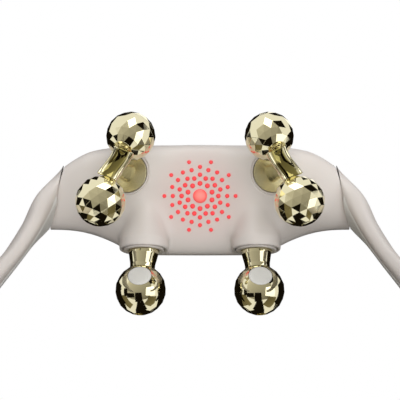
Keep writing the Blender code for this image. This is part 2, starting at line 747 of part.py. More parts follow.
def make_drive(name, y, z, wheel_x, pitch):
    """Motor can and the worm shaft that passes through it."""
    place = across_matrix(y, z)
    half = MOTOR_LENGTH / 2
    nose = WORM_ROOT_RADIUS + GAP
    bore = MOTOR_SHAFT_RADIUS + GAP
    profile = ((bore, half + OVERRUN), (nose, half + OVERRUN), (nose, half), (MOTOR_RADIUS, half),
               (MOTOR_RADIUS, -half), (nose, -half), (nose, -half - OVERRUN), (bore, -half - OVERRUN),
               (bore, half + OVERRUN))
    motor = turned(name + "_motor", profile, place, STEEL, sides=SMALL_SIDES)
    reach = wheel_x + WORM_LENGTH / 2 + OVERRUN
    shaft = cylinder(name + "_worm_shaft", MOTOR_SHAFT_RADIUS, -reach, reach, place, STEEL, sides=WORM_SIDES)
    join(shaft, worm(name + "_worm_right", wheel_x, 1.0, pitch, place),
         worm(name + "_worm_left", -wheel_x, -1.0, pitch, place))
    return motor, shaft


def worm_wheel(name, radius, teeth, bore, centre, matrix):
    """Spur-cut worm wheel about local Z."""
    def build(bm):
        rings = []
        for z in (centre - WHEEL_THICK / 2, centre + WHEEL_THICK / 2):
            ring = []
            for i in range(teeth):
                for turn, reach in ((-TOOTH_ROOT_SHARE, -TOOTH_DEPTH), (-TOOTH_TIP_SHARE, 0.0),
                                    (TOOTH_TIP_SHARE, 0.0), (TOOTH_ROOT_SHARE, -TOOTH_DEPTH)):
                    angle = 2 * math.pi * (i + turn) / teeth
                    ring.append(bm.verts.new(((radius + reach) * math.cos(angle),
                                              (radius + reach) * math.sin(angle), z)))
            rings.append(ring)
        count = len(rings[0])
        for i in range(count):
            j = (i + 1) % count
            bm.faces.new((rings[0][i], rings[0][j], rings[1][j], rings[1][i]))
        bm.faces.new(rings[0])
        bm.faces.new(list(reversed(rings[1])))
    wheel = add_object(name, mesh_from(name, build), NYLON, None, matrix)
    return cut(wheel, cylinder(name + "_bore", bore + GAP, centre - WHEEL_THICK, centre + WHEEL_THICK, matrix,
                               collection=CUTTERS, sides=SMALL_SIDES))


# Kneading heads

def upper_wheel_depth():
    """How far behind its seat an upper worm wheel lies."""
    return upper_drive_place()[0] / math.cos(HEAD_CANT)


def make_turntable(label, side):
    """Seat cup, bush, gold disc with its shaft, and the worm wheel on it."""
    frame = head_frame(side)
    sleeve_bore = SHAFT_RADIUS + BUSH_WALL + 2 * GAP
    floor = -CUP_DEPTH + CUP_WALL
    end = BEARING_SPACE + WHEEL_THICK / 2 - upper_wheel_depth()
    profile = ((CUP_RADIUS - CUP_WALL, 0.0), (CUP_RADIUS, 0.0), (CUP_RADIUS, -CUP_DEPTH),
               (sleeve_bore + CUP_WALL, -CUP_DEPTH), (sleeve_bore + CUP_WALL, end), (sleeve_bore, end),
               (sleeve_bore, floor), (CUP_RADIUS - CUP_WALL, floor), (CUP_RADIUS - CUP_WALL, 0.0))
    turned("turntable_cup_" + label, profile, frame, SHELL)
    turned("turntable_bush_" + label, ring_profile(sleeve_bore - GAP, SHAFT_RADIUS + GAP, floor, end), frame,
           BRASS, sides=SMALL_SIDES)
    face = -DISC_SINK
    under = face - DISC_THICK
    disc = ((0.0, face), (DISC_RADIUS, face), (DISC_RADIUS, under), (HUB_RADIUS, under),
            (HUB_RADIUS, floor + GAP), (SHAFT_RADIUS, floor + GAP), (SHAFT_RADIUS, -UPPER_SHAFT_END),
            (0.0, -UPPER_SHAFT_END))
    turned("turntable_" + label, disc, frame, GOLD)
    worm_wheel("upper_wheel_" + label, UPPER_WHEEL_RADIUS, UPPER_WHEEL_TEETH, SHAFT_RADIUS,
               -upper_wheel_depth(), frame)


def ball_frames(side):
    """Centre and axle frame of the low and the high ball: Z runs from the arm into the ball."""
    frame = head_frame(side)
    result = []
    for label, out, height, tilt in (("low", 1.0, LOW_BALL_HEIGHT, LOW_AXLE_TILT),
                                     ("high", -1.0, HIGH_BALL_HEIGHT, HIGH_AXLE_TILT)):
        centre = Vector((out * BALL_ORBIT, 0.0, height))
        axle = Vector((out * math.cos(tilt), 0.0, math.sin(tilt)))
        result.append((label, frame @ frame_matrix(centre, axle, (0.0, 1.0, 0.0))))
    return result


def pole_height(radius, pole_radius):
    """Distance of a ball's flat pole from its centre."""
    return math.sqrt(radius ** 2 - pole_radius ** 2)


def oblong_ring(x_half, y_half, place):
    """A rounded oblong section in the XY plane of a place."""
    ring = []
    for i in range(OBLONG_STEPS):
        c, s = superellipse(2 * math.pi * i / OBLONG_STEPS, OBLONG_ROUNDNESS)
        ring.append(place @ Vector((x_half * c, y_half * s, 0.0)))
    return ring


def make_head_arm(label, side):
    """Gold arm: a column on the disc, a flat strap over it and an axle into each ball."""
    frame = head_frame(side)
    foot = -DISC_SINK + GAP
    column = loft("head_arm_" + label, [
        oblong_ring(POST_RADIUS * long_share, POST_RADIUS * wide_share,
                    frame @ Matrix.Translation((0, 0, foot + (STRAP_HEIGHT - foot) * rise)))
        for rise, long_share, wide_share in POST_SECTION_SHARES], GOLD)
    low_end = BALL_ORBIT - BALL_RADIUS + STRAP_THICK / 2
    high_end = BALL_ORBIT - BALL_RADIUS - 2 * GAP
    rings = []
    for share in spread(-1.0, 1.0, STRAP_RINGS):
        x = share * (low_end if share > 0 else high_end)
        sway = side * STRAP_SWAY * share
        width = STRAP_WIDTH * (STRAP_WAIST_SHARE + (1 - STRAP_WAIST_SHARE) * share ** 2)
        place = frame @ frame_matrix((x, sway, STRAP_HEIGHT), (1.0, 0.0, 0.0), (0.0, 1.0, 0.0))
        rings.append(oblong_ring(width / 2, STRAP_THICK / 2, place))
    join(column, loft("strap_" + label, rings, collection=CUTTERS))
    pole = pole_height(BALL_RADIUS, BALL_POLE_RADIUS)
    for name, ball in ball_frames(side):
        collar = cylinder(f"axle_collar_{label}_{name}", AXLE_COLLAR_RADIUS, -pole - STRAP_THICK, -pole - GAP,
                          ball, collection=CUTTERS, sides=SMALL_SIDES)
        axle = cylinder(f"axle_{label}_{name}", AXLE_RADIUS, -pole - STRAP_THICK / 2,
                        pole - BALL_CAP_THICK - 2 * GAP, ball, collection=CUTTERS, sides=SMALL_SIDES)
        join(column, collar, axle)
    return column


def faceted_ball(name, radius, near_pole, far_pole, matrix, material):
    """A ball cut with rows of triangular facets, flat at its two poles, about local Z."""
    def build(bm):
        start = -math.acos(near_pole / radius)
        end = math.acos(far_pole / radius)
        rows = []
        for band in range(FACET_BANDS + 1):
            latitude = start + (end - start) * band / FACET_BANDS
            row = []
            for i in range(FACETS_ROUND):
                turn = 2 * math.pi * (i + (band % 2) / 2) / FACETS_ROUND
                row.append(bm.verts.new((radius * math.cos(latitude) * math.cos(turn),
                                         radius * math.cos(latitude) * math.sin(turn),
                                         radius * math.sin(latitude))))
            rows.append(row)
        for band, (low, high) in enumerate(zip(rows, rows[1:])):
            for i in range(FACETS_ROUND):
                j = (i + 1) % FACETS_ROUND
                if band % 2:
                    bm.faces.new((low[i], high[j], high[i]))
                    bm.faces.new((low[i], low[j], high[j]))
                else:
                    bm.faces.new((low[i], low[j], high[i]))
                    bm.faces.new((high[i], low[j], high[j]))
        bm.faces.new(rows[0])
        bm.faces.new(list(reversed(rows[-1])))
    return add_object(name, mesh_from(name, build), material, None, matrix, sharp=None)


def make_upper_balls(label, side):
    """The two faceted balls of one head, each with the cap that closes its axle bore."""
    pole = pole_height(BALL_RADIUS, BALL_POLE_RADIUS)
    for name, frame in ball_frames(side):
        ball = faceted_ball(f"ball_{label}_{name}", BALL_RADIUS, BALL_POLE_RADIUS, BALL_POLE_RADIUS,
                            frame, GOLD)
        cap_radius = BALL_POLE_RADIUS - BALL_CAP_THICK / 2
        cut(ball, cylinder(f"ball_bore_{label}_{name}", AXLE_RADIUS + GAP, -pole - OVERRUN, pole + OVERRUN,
                           frame, collection=CUTTERS, sides=SMALL_SIDES),
            cylinder(f"cap_seat_{label}_{name}", cap_radius + GAP, pole - BALL_CAP_THICK - GAP,
                     pole + OVERRUN, frame, collection=CUTTERS, sides=SMALL_SIDES))
        crown, rise = CAP_CROWN_SHARES
        turned(f"ball_cap_{label}_{name}", (
            (0.0, pole + BALL_CAP_THICK / 2), (cap_radius * crown, pole + BALL_CAP_THICK * rise),
            (cap_radius, pole), (cap_radius, pole - BALL_CAP_THICK), (0.0, pole - BALL_CAP_THICK)),
            frame, GOLD, sides=SMALL_SIDES)


# Lower heads

def pad_frame(side):
    """Contact pad of a lower ball: Z out of the pad, origin at the ball's centre."""
    centre = (lower_frame(side, LOWER_LEAN) @ Vector((0.0, 0.0, LOWER_BALL_REACH)))
    return frame_matrix(centre, (0.0, -math.cos(PAD_TILT), math.sin(PAD_TILT)), (side, 0.0, 0.0))


def make_lower_head(label, side):
    """Bearing seat, bush, collar ring, leaning neck, ball, contact pad and worm wheel."""
    frame = lower_frame(side)
    leaning = lower_frame(side, LOWER_LEAN)
    collar_under = COLLAR_STAND - COLLAR_HEIGHT
    flange_under = collar_under - GAP - NECK_FLANGE_THICK
    seat_top = flange_under - GAP
    sleeve_bore = LOWER_SHAFT_RADIUS + BUSH_WALL + 2 * GAP
    end = seat_top - LOWER_SLEEVE
    seat_radius = BOSS_RADIUS - BOSS_WALL - GAP
    profile = ((sleeve_bore, seat_top), (seat_radius, seat_top), (seat_radius, seat_top - LOWER_SEAT_THICK),
               (sleeve_bore + BOSS_WALL, seat_top - LOWER_SEAT_THICK), (sleeve_bore + BOSS_WALL, end),
               (sleeve_bore, end), (sleeve_bore, seat_top))
    turned("lower_seat_" + label, profile, frame, DARK)
    turned("lower_bush_" + label, ring_profile(sleeve_bore - GAP, LOWER_SHAFT_RADIUS + GAP, seat_top, end),
           frame, BRASS, sides=SMALL_SIDES)
    bore = NECK_TOP_RADIUS + 2 * GAP
    edge = COLLAR_STAND / 2
    turned("collar_ring_" + label, (
        (bore, COLLAR_STAND), (COLLAR_RADIUS - edge, COLLAR_STAND), (COLLAR_RADIUS, COLLAR_STAND - edge),
        (COLLAR_RADIUS, collar_under), (bore, collar_under), (bore, COLLAR_STAND)), frame, SHELL)
    pole = pole_height(LOWER_BALL_RADIUS, NECK_END_RADIUS + GAP)
    neck_end = LOWER_BALL_REACH - pole - GAP
    root = NECK_TOP_RADIUS * NECK_ROOT_SHARE
    neck = turned("lower_neck_" + label, (
        (0.0, collar_under), (root, collar_under), (root, collar_under - GAP),
        (NECK_FLANGE_RADIUS, collar_under - GAP), (NECK_FLANGE_RADIUS, flange_under),
        (LOWER_SHAFT_RADIUS, flange_under), (LOWER_SHAFT_RADIUS, -LOWER_SHAFT_END),
        (0.0, -LOWER_SHAFT_END)), frame, GOLD)
    cone = turned("neck_cone_" + label, (
        (0.0, neck_end + SPIGOT_LENGTH), (SPIGOT_RADIUS, neck_end + SPIGOT_LENGTH), (SPIGOT_RADIUS, neck_end),
        (NECK_END_RADIUS, neck_end), (NECK_TOP_RADIUS, collar_under - GAP / 2),
        (0.0, collar_under - GAP / 2)),
        leaning, collection=CUTTERS)
    join(neck, cone)
    centre = leaning @ Matrix.Translation((0.0, 0.0, LOWER_BALL_REACH))
    ball = faceted_ball("lower_ball_" + label, LOWER_BALL_RADIUS, NECK_END_RADIUS + GAP,
                        NECK_END_RADIUS / 2, centre, GOLD)
    pad_out = pole_height(LOWER_BALL_RADIUS, PAD_RADIUS)
    cut(ball, cylinder("spigot_bore_" + label, SPIGOT_RADIUS + GAP, -pole - OVERRUN,
                       -pole + SPIGOT_LENGTH + GAP, centre, collection=CUTTERS, sides=SMALL_SIDES),
        cylinder("pad_seat_" + label, PAD_RADIUS + GAP, pad_out - PAD_THICK - GAP,
                 LOWER_BALL_RADIUS + OVERRUN, pad_frame(side), collection=CUTTERS, sides=SMALL_SIDES))
    cylinder("contact_pad_" + label, PAD_RADIUS, pad_out - PAD_THICK, pad_out, pad_frame(side), PALE,
             sides=SMALL_SIDES)
    worm_wheel("lower_wheel_" + label, LOWER_WHEEL_RADIUS, LOWER_WHEEL_TEETH, LOWER_SHAFT_RADIUS,
               -LOWER_WHEEL_RISE, frame)


# Shoulder arms

def catmull(values, t):
    """A smooth curve through a row of values, read at a station number."""
    i = max(0, min(int(t), len(values) - 2))
    f = t - i
    before, here, after = values[max(i - 1, 0)], values[i], values[i + 1]
    later = values[min(i + 2, len(values) - 1)]
    return (here * 2 + (after - before) * f + (before * 2 - here * 5 + after * 4 - later) * f * f
            + (here * 3 - before - after * 3 + later) * f * f * f) / 2


def arm_keys():
    """Centre, up, inward, width and thickness of the right arm at its stations."""
    top, bottom, depth = body_sizes(1.0)
    middle = (top + bottom) / 2
    points = [Vector((seam_x(middle), depth / 2, middle))]
    points += [Vector((BODY_HALF_WIDTH + out, along, up)) for out, along, up in ARM_PATH]
    widths = [(top - bottom) * math.hypot(1.0, SEAM_SLANT), *ARM_WIDTHS]
    thicks = [depth, *ARM_THICKS]
    keys = []
    for i, point in enumerate(points):
        if i == 0:
            along = Vector((1.0, 0.0, 0.0))
        else:
            along = (points[min(i + 1, len(points) - 1)] - points[i - 1]).normalized()
        up = Vector((-ARM_LEANS[i], 0.0, 1.0))
        up = (up - along * up.dot(along) * ARM_SQUARE_SHARES[i]).normalized()
        keys.append((point, up, along.cross(up).normalized(), widths[i], thicks[i], along))
    return keys


def arm_power(index):
    """Roundness of the arm's section, taken over from the body at the seam."""
    return END_ROUNDNESS if index == 0 else ARM_ROUNDNESS


def arm_skin(key, index):
    """Outer section of the arm, its first one cut back along the seam."""
    point, up, inward, width, thick, along = key
    ring = []
    for i in range(ARM_RING_POINTS):
        c, s = superellipse(2 * math.pi * i / ARM_RING_POINTS, arm_power(index))
        spot = point + up * (width / 2 * c) + inward * (thick / 2 * s)
        if index == 0:
            spot = spot + along * (SEAM_GAP + (BACK_RELIEF - SEAM_GAP) * (1 - s) / 2)
        ring.append(spot)
    return ring


def arm_face(across, width, thick, power):
    """Height of the arm's skin over its middle plane at a distance across it."""
    share = min(abs(across) / (width / 2), 1.0)
    return thick / 2 * (1 - share ** power) ** (1 / power)


def arm_layer(key, index, half_trim, out, back, through):
    """Section of a layer on the arm's inner face, or of the hollow under it."""
    point, up, inward, width, thick, along = key
    power = arm_power(index)
    half = width / 2 - half_trim
    spots = []
    for i in range(PAD_POINTS):
        across = half * (2 * i / (PAD_POINTS - 1) - 1)
        spots.append((across, arm_face(across, width, thick, power) + out))
    for i in reversed(range(PAD_POINTS)):
        across = half * (2 * i / (PAD_POINTS - 1) - 1)
        face = arm_face(across, width, thick, power)
        spots.append((across, -face + back if through else face - back))
    return [point + up * across + inward * height for across, height in spots]


def arm_rings(side, sections, stations):
    """Sections at station numbers between the sections that the arm is given at."""
    rings = []
    for t in stations:
        ring = [catmull([section[j] for section in sections], t) for j in range(len(sections[0]))]
        rings.append([Vector((side * spot.x, spot.y, spot.z)) for spot in ring])
    return rings


def layer_loft(name, side, trim, out, back, span_shares, extra=0.0, through=False, material=None,
               collection=None):
    """A pad, its pocket or the arm's hollow as one loft along the arm, its ends moved out by an extra."""
    keys = arm_keys()
    sections = [arm_layer(key, i, trim, out, back, through) for i, key in enumerate(keys)]
    last = len(keys) - 1
    stations = spread(span_shares[0] * last, span_shares[1] * last, ARM_RINGS - ARM_TIP_RINGS)
    rings = arm_rings(side, sections, stations)
    if extra:
        for ring, inner in ((rings[0], rings[1]), (rings[-1], rings[-2])):
            for spot, near in zip(ring, inner):
                spot += (spot - near).normalized() * extra
    return loft(name, rings, material, collection)


def make_arm(label, side):
    """Arm shell with its hinge knuckle, its soft inner pad and the steel hinge pin."""
    keys = arm_keys()
    last = len(keys) - 1
    rings = arm_rings(side, [arm_skin(key, i) for i, key in enumerate(keys)], spread(0, last, ARM_RINGS))
    end = rings[-1]
    centre = sum(end, Vector()) / len(end)
    along = keys[-1][5]
    along = Vector((side * along.x, along.y, along.z))
    for i in range(1, ARM_TIP_RINGS + 1):
        turn = math.pi / 2 * i / (ARM_TIP_RINGS + TIP_FLAT_SHARE)
        rings.append([centre + (spot - centre) * math.cos(turn) + along * (TIP_LENGTH * math.sin(turn))
                      for spot in end])
    arm = loft("arm_shell_" + label, rings, SHELL)
    frame = hinge_frame(side)
    knuckle = cylinder("knuckle_" + label, KNUCKLE_RADIUS, -KNUCKLE_HEIGHT / 2, KNUCKLE_HEIGHT / 2, frame,
                       collection=CUTTERS, sides=SMALL_SIDES)
    reach = HINGE_INSET + BACK_RELIEF + OVERRUN
    thick_share, height_share = TONGUE_SHARES
    tongue = box("tongue_" + label, (reach, KNUCKLE_RADIUS * thick_share, KNUCKLE_HEIGHT * height_share),
                 (reach / 2, 0.0, 0.0), frame, collection=CUTTERS)
    join(arm, knuckle, tongue)
    sheet = PAD_SHEET - PAD_PROUD
    cut(arm, cylinder("knuckle_bore_" + label, PIN_RADIUS + GAP, -KNUCKLE_HEIGHT, KNUCKLE_HEIGHT, frame,
                      collection=CUTTERS, sides=SMALL_SIDES),
        layer_loft("pad_pocket_" + label, side, PAD_BORDER - GAP, OVERRUN, sheet + GAP, PAD_SPAN_SHARES,
                   extra=GAP, collection=CUTTERS),
        layer_loft("arm_hollow_" + label, side, PAD_BORDER + PAD_LEDGE, -sheet, ARM_WALL, CAVITY_SPAN_SHARES,
                   through=True, collection=CUTTERS))
    layer_loft("arm_pad_" + label, side, PAD_BORDER, PAD_PROUD, sheet, PAD_SPAN_SHARES, material=PAD_SKIN)
    cylinder("hinge_pin_" + label, PIN_RADIUS, -PIN_LENGTH / 2, PIN_LENGTH / 2, frame, STEEL,
             sides=SMALL_SIDES)
    return arm


def arm_outside(share):
    """Place on the right arm's outer face: Z out of it, X along the arm."""
    keys = arm_keys()
    points, _, inwards, _, thicks, _ = zip(*keys)
    t = share * (len(keys) - 1)
    along = catmull(points, t + PATH_STEP_SHARE) - catmull(points, t - PATH_STEP_SHARE)
    inward = catmull(inwards, t).normalized()
    return frame_matrix(catmull(points, t) - inward * (catmull(thicks, t) / 2), -inward, along)


def button_stack():
    """Heights of a button's flange and foot and of its switch and board, from the arm's outer face."""
    flange = -ARM_WALL - GAP
    foot = flange - FLANGE_THICK - BUTTON_FOOT
    switch = foot - BUTTON_TRAVEL - GAP
    return flange, foot, switch, switch - SWITCH_HEIGHT


def make_controls(arm):
    """Three push buttons in the right arm and the board with their switches."""
    flange, foot, switch, board_top = button_stack()
    crown, rise = BUTTON_CROWN_SHARES
    middle = arm_outside(BUTTON_SHARES[1][1])
    board = box("button_board", (KEY_BOARD_LENGTH, KEY_BOARD_WIDTH, KEY_BOARD_THICK),
                (0.0, 0.0, board_top - KEY_BOARD_THICK / 2), middle, BOARD)
    for name, share in BUTTON_SHARES:
        place = arm_outside(share)
        cut(arm, cylinder(name + "_hole", BUTTON_RADIUS + GAP, -ARM_WALL - OVERRUN, OVERRUN, place,
                          collection=CUTTERS, sides=SMALL_SIDES * 2))
        turned(name, ((0.0, BUTTON_STAND), (BUTTON_RADIUS * crown, BUTTON_STAND),
                      (BUTTON_RADIUS, BUTTON_STAND * rise), (BUTTON_RADIUS, flange),
                      (BUTTON_RADIUS + BUTTON_FLANGE, flange),
                      (BUTTON_RADIUS + BUTTON_FLANGE, flange - FLANGE_THICK),
                      (SWITCH_SIZE / 2, flange - FLANGE_THICK), (SWITCH_SIZE / 2, foot), (0.0, foot)),
               place, PALE, sides=SMALL_SIDES)
        local = middle.inverted() @ place
        join(board, box(name + "_switch", (SWITCH_SIZE, SWITCH_SIZE, SWITCH_HEIGHT + KEY_BOARD_THICK / 2),
                        (local.translation.x, local.translation.y,
                         switch - (SWITCH_HEIGHT + KEY_BOARD_THICK / 2) / 2 + local.translation.z),
                        middle, collection=CUTTERS))
    for share in KEY_POST_SHARES:
        spot = middle.inverted() @ arm_outside(share).translation
        top = spot.z - ARM_WALL / 2
        join(arm, box(f"key_post_{share}", (POST_SIZE, POST_SIZE, top - board_top - GAP),
                      (spot.x, spot.y, (top + board_top + GAP) / 2), middle, collection=CUTTERS))


# Inside the body

def make_inside():
    """Motors and worm shafts in their cradle, battery, control board and charging port."""
    low_y, low_z = lower_drive_place()
    high_y, high_z = upper_drive_place()
    make_drive("upper", high_y, high_z, HEAD_X - math.tan(HEAD_CANT) * high_y,
               2 * math.pi * UPPER_WHEEL_RADIUS / UPPER_WHEEL_TEETH)
    make_drive("lower", low_y, low_z, LOWER_X, 2 * math.pi * LOWER_WHEEL_RADIUS / LOWER_WHEEL_TEETH)
    hold = MOTOR_RADIUS + GAP
    top = high_z + hold + CRADLE_WALL
    bottom = low_z - hold - CRADLE_WALL
    back = battery_front() - GAP
    depth = back - CRADLE_FRONT_Y
    cradle = box("motor_cradle", (CRADLE_WIDTH, depth, top - bottom),
                 (0.0, CRADLE_FRONT_Y + depth / 2, (top + bottom) / 2), material=DARK)
    for name, y, z in (("upper", high_y, high_z), ("lower", low_y, low_z)):
        cut(cradle, cylinder(name + "_motor_room", hold, -CRADLE_WIDTH, CRADLE_WIDTH, across_matrix(y, z),
                             collection=CUTTERS))
    box("battery", BATTERY_SIZE, (0.0, battery_front() + BATTERY_SIZE[1] / 2, 0.0), material=CELL)
    box("control_board", BOARD_SIZE, (0.0, board_front() + BOARD_SIZE[1] / 2, BOARD_Z), material=BOARD)
    floor = -BODY_BOTTOM + PORT_LIP
    port = box("charging_port", PORT_SIZE, (0.0, PORT_Y, floor + PORT_SIZE[2] / 2), material=STEEL)
    mouth = (PORT_SIZE[0] - 2 * PORT_WALL, PORT_SIZE[1] - 2 * PORT_WALL, PORT_SIZE[2])
    cut(port, box("port_mouth", mouth, (0.0, PORT_Y, floor + PORT_SIZE[2] / 2 - 2 * PORT_WALL),
                  collection=CUTTERS))
    tongue = [size * share for size, share in zip(mouth, PORT_TONGUE_SHARES)]
    join(port, box("port_tongue", tongue, (0.0, PORT_Y, floor + PORT_SIZE[2] - PORT_WALL - tongue[2] / 2),
                   collection=CUTTERS))
    box("port_board", PORT_BOARD_SIZE,
        (0.0, PORT_Y + (PORT_SIZE[1] + PORT_BOARD_SIZE[1]) / 2 + GAP,
         -BODY_BOTTOM + BODY_WALL + PORT_BOARD_RISE + PORT_BOARD_SIZE[2] / 2), material=BOARD)
    head_floor = screw_split() + SCREW_BOSS_RADIUS + GAP
    for x, z, label in screw_places():
        turned("shell_screw_" + label, (
            (0.0, -head_floor + SCREW_LENGTH), (SCREW_RADIUS, -head_floor + SCREW_LENGTH),
            (SCREW_RADIUS, -head_floor), (SCREW_HEAD_RADIUS, -head_floor),
            (SCREW_HEAD_RADIUS, -head_floor - SCREW_HEAD_HEIGHT), (0.0, -head_floor - SCREW_HEAD_HEIGHT)),
            face_matrix(x, 0.0, z), STEEL, sides=SCREW_SIDES)


def main():
    """Build the whole massager."""
    make_front_housing()
    make_back_cover()
    make_light_lens()
    make_light_board()
    make_inside()
    for label, side in SIDES:
        make_turntable(label, side)
        make_head_arm(label, side)
        make_upper_balls(label, side)
        make_lower_head(label, side)
        arm = make_arm(label, side)
        if side > 0:
            make_controls(arm)


main()
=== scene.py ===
import json
import math

import bmesh
import bpy
import numpy as np
from mathutils import Matrix, Vector
from mathutils.bvhtree import BVHTree


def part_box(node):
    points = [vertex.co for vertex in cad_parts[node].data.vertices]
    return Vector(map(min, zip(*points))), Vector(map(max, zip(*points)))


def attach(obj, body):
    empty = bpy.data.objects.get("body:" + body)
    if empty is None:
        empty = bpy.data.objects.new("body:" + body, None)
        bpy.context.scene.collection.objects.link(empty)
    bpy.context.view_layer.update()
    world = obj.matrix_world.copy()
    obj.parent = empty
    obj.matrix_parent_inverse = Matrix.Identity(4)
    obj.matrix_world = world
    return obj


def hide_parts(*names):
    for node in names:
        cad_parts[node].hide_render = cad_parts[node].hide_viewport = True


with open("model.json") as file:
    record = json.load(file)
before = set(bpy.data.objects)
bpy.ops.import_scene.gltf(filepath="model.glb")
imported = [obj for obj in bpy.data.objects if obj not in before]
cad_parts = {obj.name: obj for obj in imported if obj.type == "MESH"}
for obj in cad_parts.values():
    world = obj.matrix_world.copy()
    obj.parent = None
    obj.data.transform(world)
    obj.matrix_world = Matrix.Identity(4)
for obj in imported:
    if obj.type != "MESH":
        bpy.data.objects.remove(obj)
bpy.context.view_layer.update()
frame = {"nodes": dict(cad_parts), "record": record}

bl_info = {
    "name": "Neck and Shoulder Massager",
    "version": (1, 0, 0),
    "blender": (4, 5, 0),
    "location": "View3D > Sidebar > Massager",
    "description": "Moulded shells, plated kneading heads, red light field, shoulder arms and a studio",
    "category": "Object",
}

MM = 0.001
SIDES = (("left", -1.0), ("right", 1.0))


def mm(*values):
    """Millimetres as metres."""
    return tuple(value * MM for value in values)


# Body
BODY_HALF_WIDTH = 104.2 * MM
BODY_TOP = 38.0 * MM
BODY_BOTTOM = 44.3 * MM
BODY_END_BOTTOM = 25.0 * MM
BODY_DEPTH = 46.0 * MM
BODY_END_DEPTH = 23.0 * MM
BODY_ROUNDNESS = 5.5
END_ROUNDNESS = 3.0
SEAM_SLANT = 0.23
SPLIT_SHARE = 0.48
REST_FACE_Y = 45.2 * MM
# Each station: shares of the half width, top, bottom and depth
STATION_SHARES = (
    (0.00, 1.000, 1.00, 1.00), (0.18, 1.000, 1.00, 1.00), (0.36, 1.000, 1.00, 0.99),
    (0.47, 0.985, 0.93, 0.96), (0.57, 0.960, 0.62, 0.90), (0.68, 0.950, 0.32, 0.78),
    (0.78, 0.900, 0.13, 0.58), (0.87, 0.812, 0.03, 0.33), (0.94, 0.712, 0.00, 0.13),
    (1.00, 0.590, 0.00, 0.00))

# Heads
HEAD_X = 53.5 * MM
HEAD_Z = 17.2 * MM
HEAD_CANT = math.radians(4.0)
HEAD_PITCH = math.radians(2.0)
ROW_LEAN = math.radians(21.0)
CUP_RADIUS = 16.6 * MM
CUP_DEPTH = 7.5 * MM
CUP_SLEEVE = 9.0 * MM
DISC_RADIUS = 14.6 * MM
BALL_RADIUS = 17.0 * MM
POLE_RADIUS = 6.4 * MM
AXLE_RADIUS = 2.5 * MM
SMOOTH_SIDE_COSINE = 0.60
CASTING_VOXEL = 0.48 * MM
STRAP_HEIGHT = 46.4 * MM
STRAP_MIDDLE = 2.9 * MM
STRAP_HALF_LENGTH = 10.6 * MM
CAP_SEAT_SHARE = 0.86
FACET_LAP = 0.15 * MM
# Each ball: name, way along the row, distance out along it, height over the seat, tilt of its axle
UPPER_BALLS = (
    ("low", 1.0, 24.0 * MM, 33.6 * MM, math.radians(-47.0)),
    ("high", -1.0, 24.0 * MM, 50.4 * MM, math.radians(14.0)),
)
LOWER_MOUTH = (40.6 * MM, -3.0 * MM, -39.2 * MM)
LOWER_TILT = math.radians(18.1)
LOWER_LEAN = math.radians(3.0)
LOWER_BALL_RADIUS = 18.0 * MM
LOWER_REACH = 29.0 * MM
NECK_TOP = 10.9 * MM
NECK_END = 8.9 * MM
BOSS_RADIUS = 17.2 * MM
CONTACT_RADIUS = 8.3 * MM
CONTACT_TILT = math.radians(46.0)

# Light field: ring radius, dot radius, 1 where the ring starts half a step round
DOT_RINGS = tuple((*mm(ring, dot), half) for ring, dot, half in (
    (9.15, 1.80, 1), (13.35, 1.70, 0), (15.50, 1.62, 1), (19.75, 1.55, 0), (21.15, 1.50, 1),
    (25.85, 1.42, 0)))
DOTS_PER_RING = 10
DOME_RADIUS = 5.1 * MM
DOME_STAND = 1.9 * MM

# Arms, right side: centre line, section width and thickness, lean and squareness at each station
ARM_PATH = tuple(mm(*row) for row in (
    (113.8, -2.0, -11.6), (118.7, -24.0, -25.2), (122.2, -60.0, -40.0),
    (126.5, -98.0, -53.4), (126.0, -132.0, -61.4), (121.8, -160.0, -63.6)))
ARM_WIDTHS = mm(34.6, 31.2, 25.8, 24.0, 23.2, 21.6)
ARM_THICKS = mm(16.6, 13.9, 11.8, 12.0, 12.0, 11.2)
ARM_LEANS = (SEAM_SLANT, 0.36, 0.59, 0.76, 0.72, 0.61, 0.49)
ARM_SQUARE_SHARES = (0.0, 0.5, 0.9, 1.0, 1.0, 1.0, 1.0)
ARM_ROUNDNESS = 2.7
PAD_SPAN_SHARES = (0.150, 0.930)
BUTTONS = (("power_button", 0.665, 1), ("mode_button", 0.730, 2), ("heat_button", 0.795, 3))
ARM_TIP = 8.6
HINGE = Vector(mm(94.997, 11.5, -1.29))
KNUCKLE_RADIUS = 6.6 * MM
PIN_BORE_RADIUS = 2.3 * MM
KEY_RADIUS = 4.6 * MM
KEY_HEIGHT = 1.0 * MM

# Camera: the photograph is a square, seen from straight in front of the light field
PICTURE_PIXELS = 400.0
FOCAL_PIXELS = 771.0
SHIFT_PIXELS = -4.0
SENSOR_WIDTH = 36.0
EYE_DISTANCE = 0.560


def linear(code):
    """Linear colour of an sRGB hex value."""
    parts = [int(code[i:i + 2], 16) / 255 for i in (0, 2, 4)]
    return tuple(c / 12.92 if c <= 0.04045 else ((c + 0.055) / 1.055) ** 2.4 for c in parts)


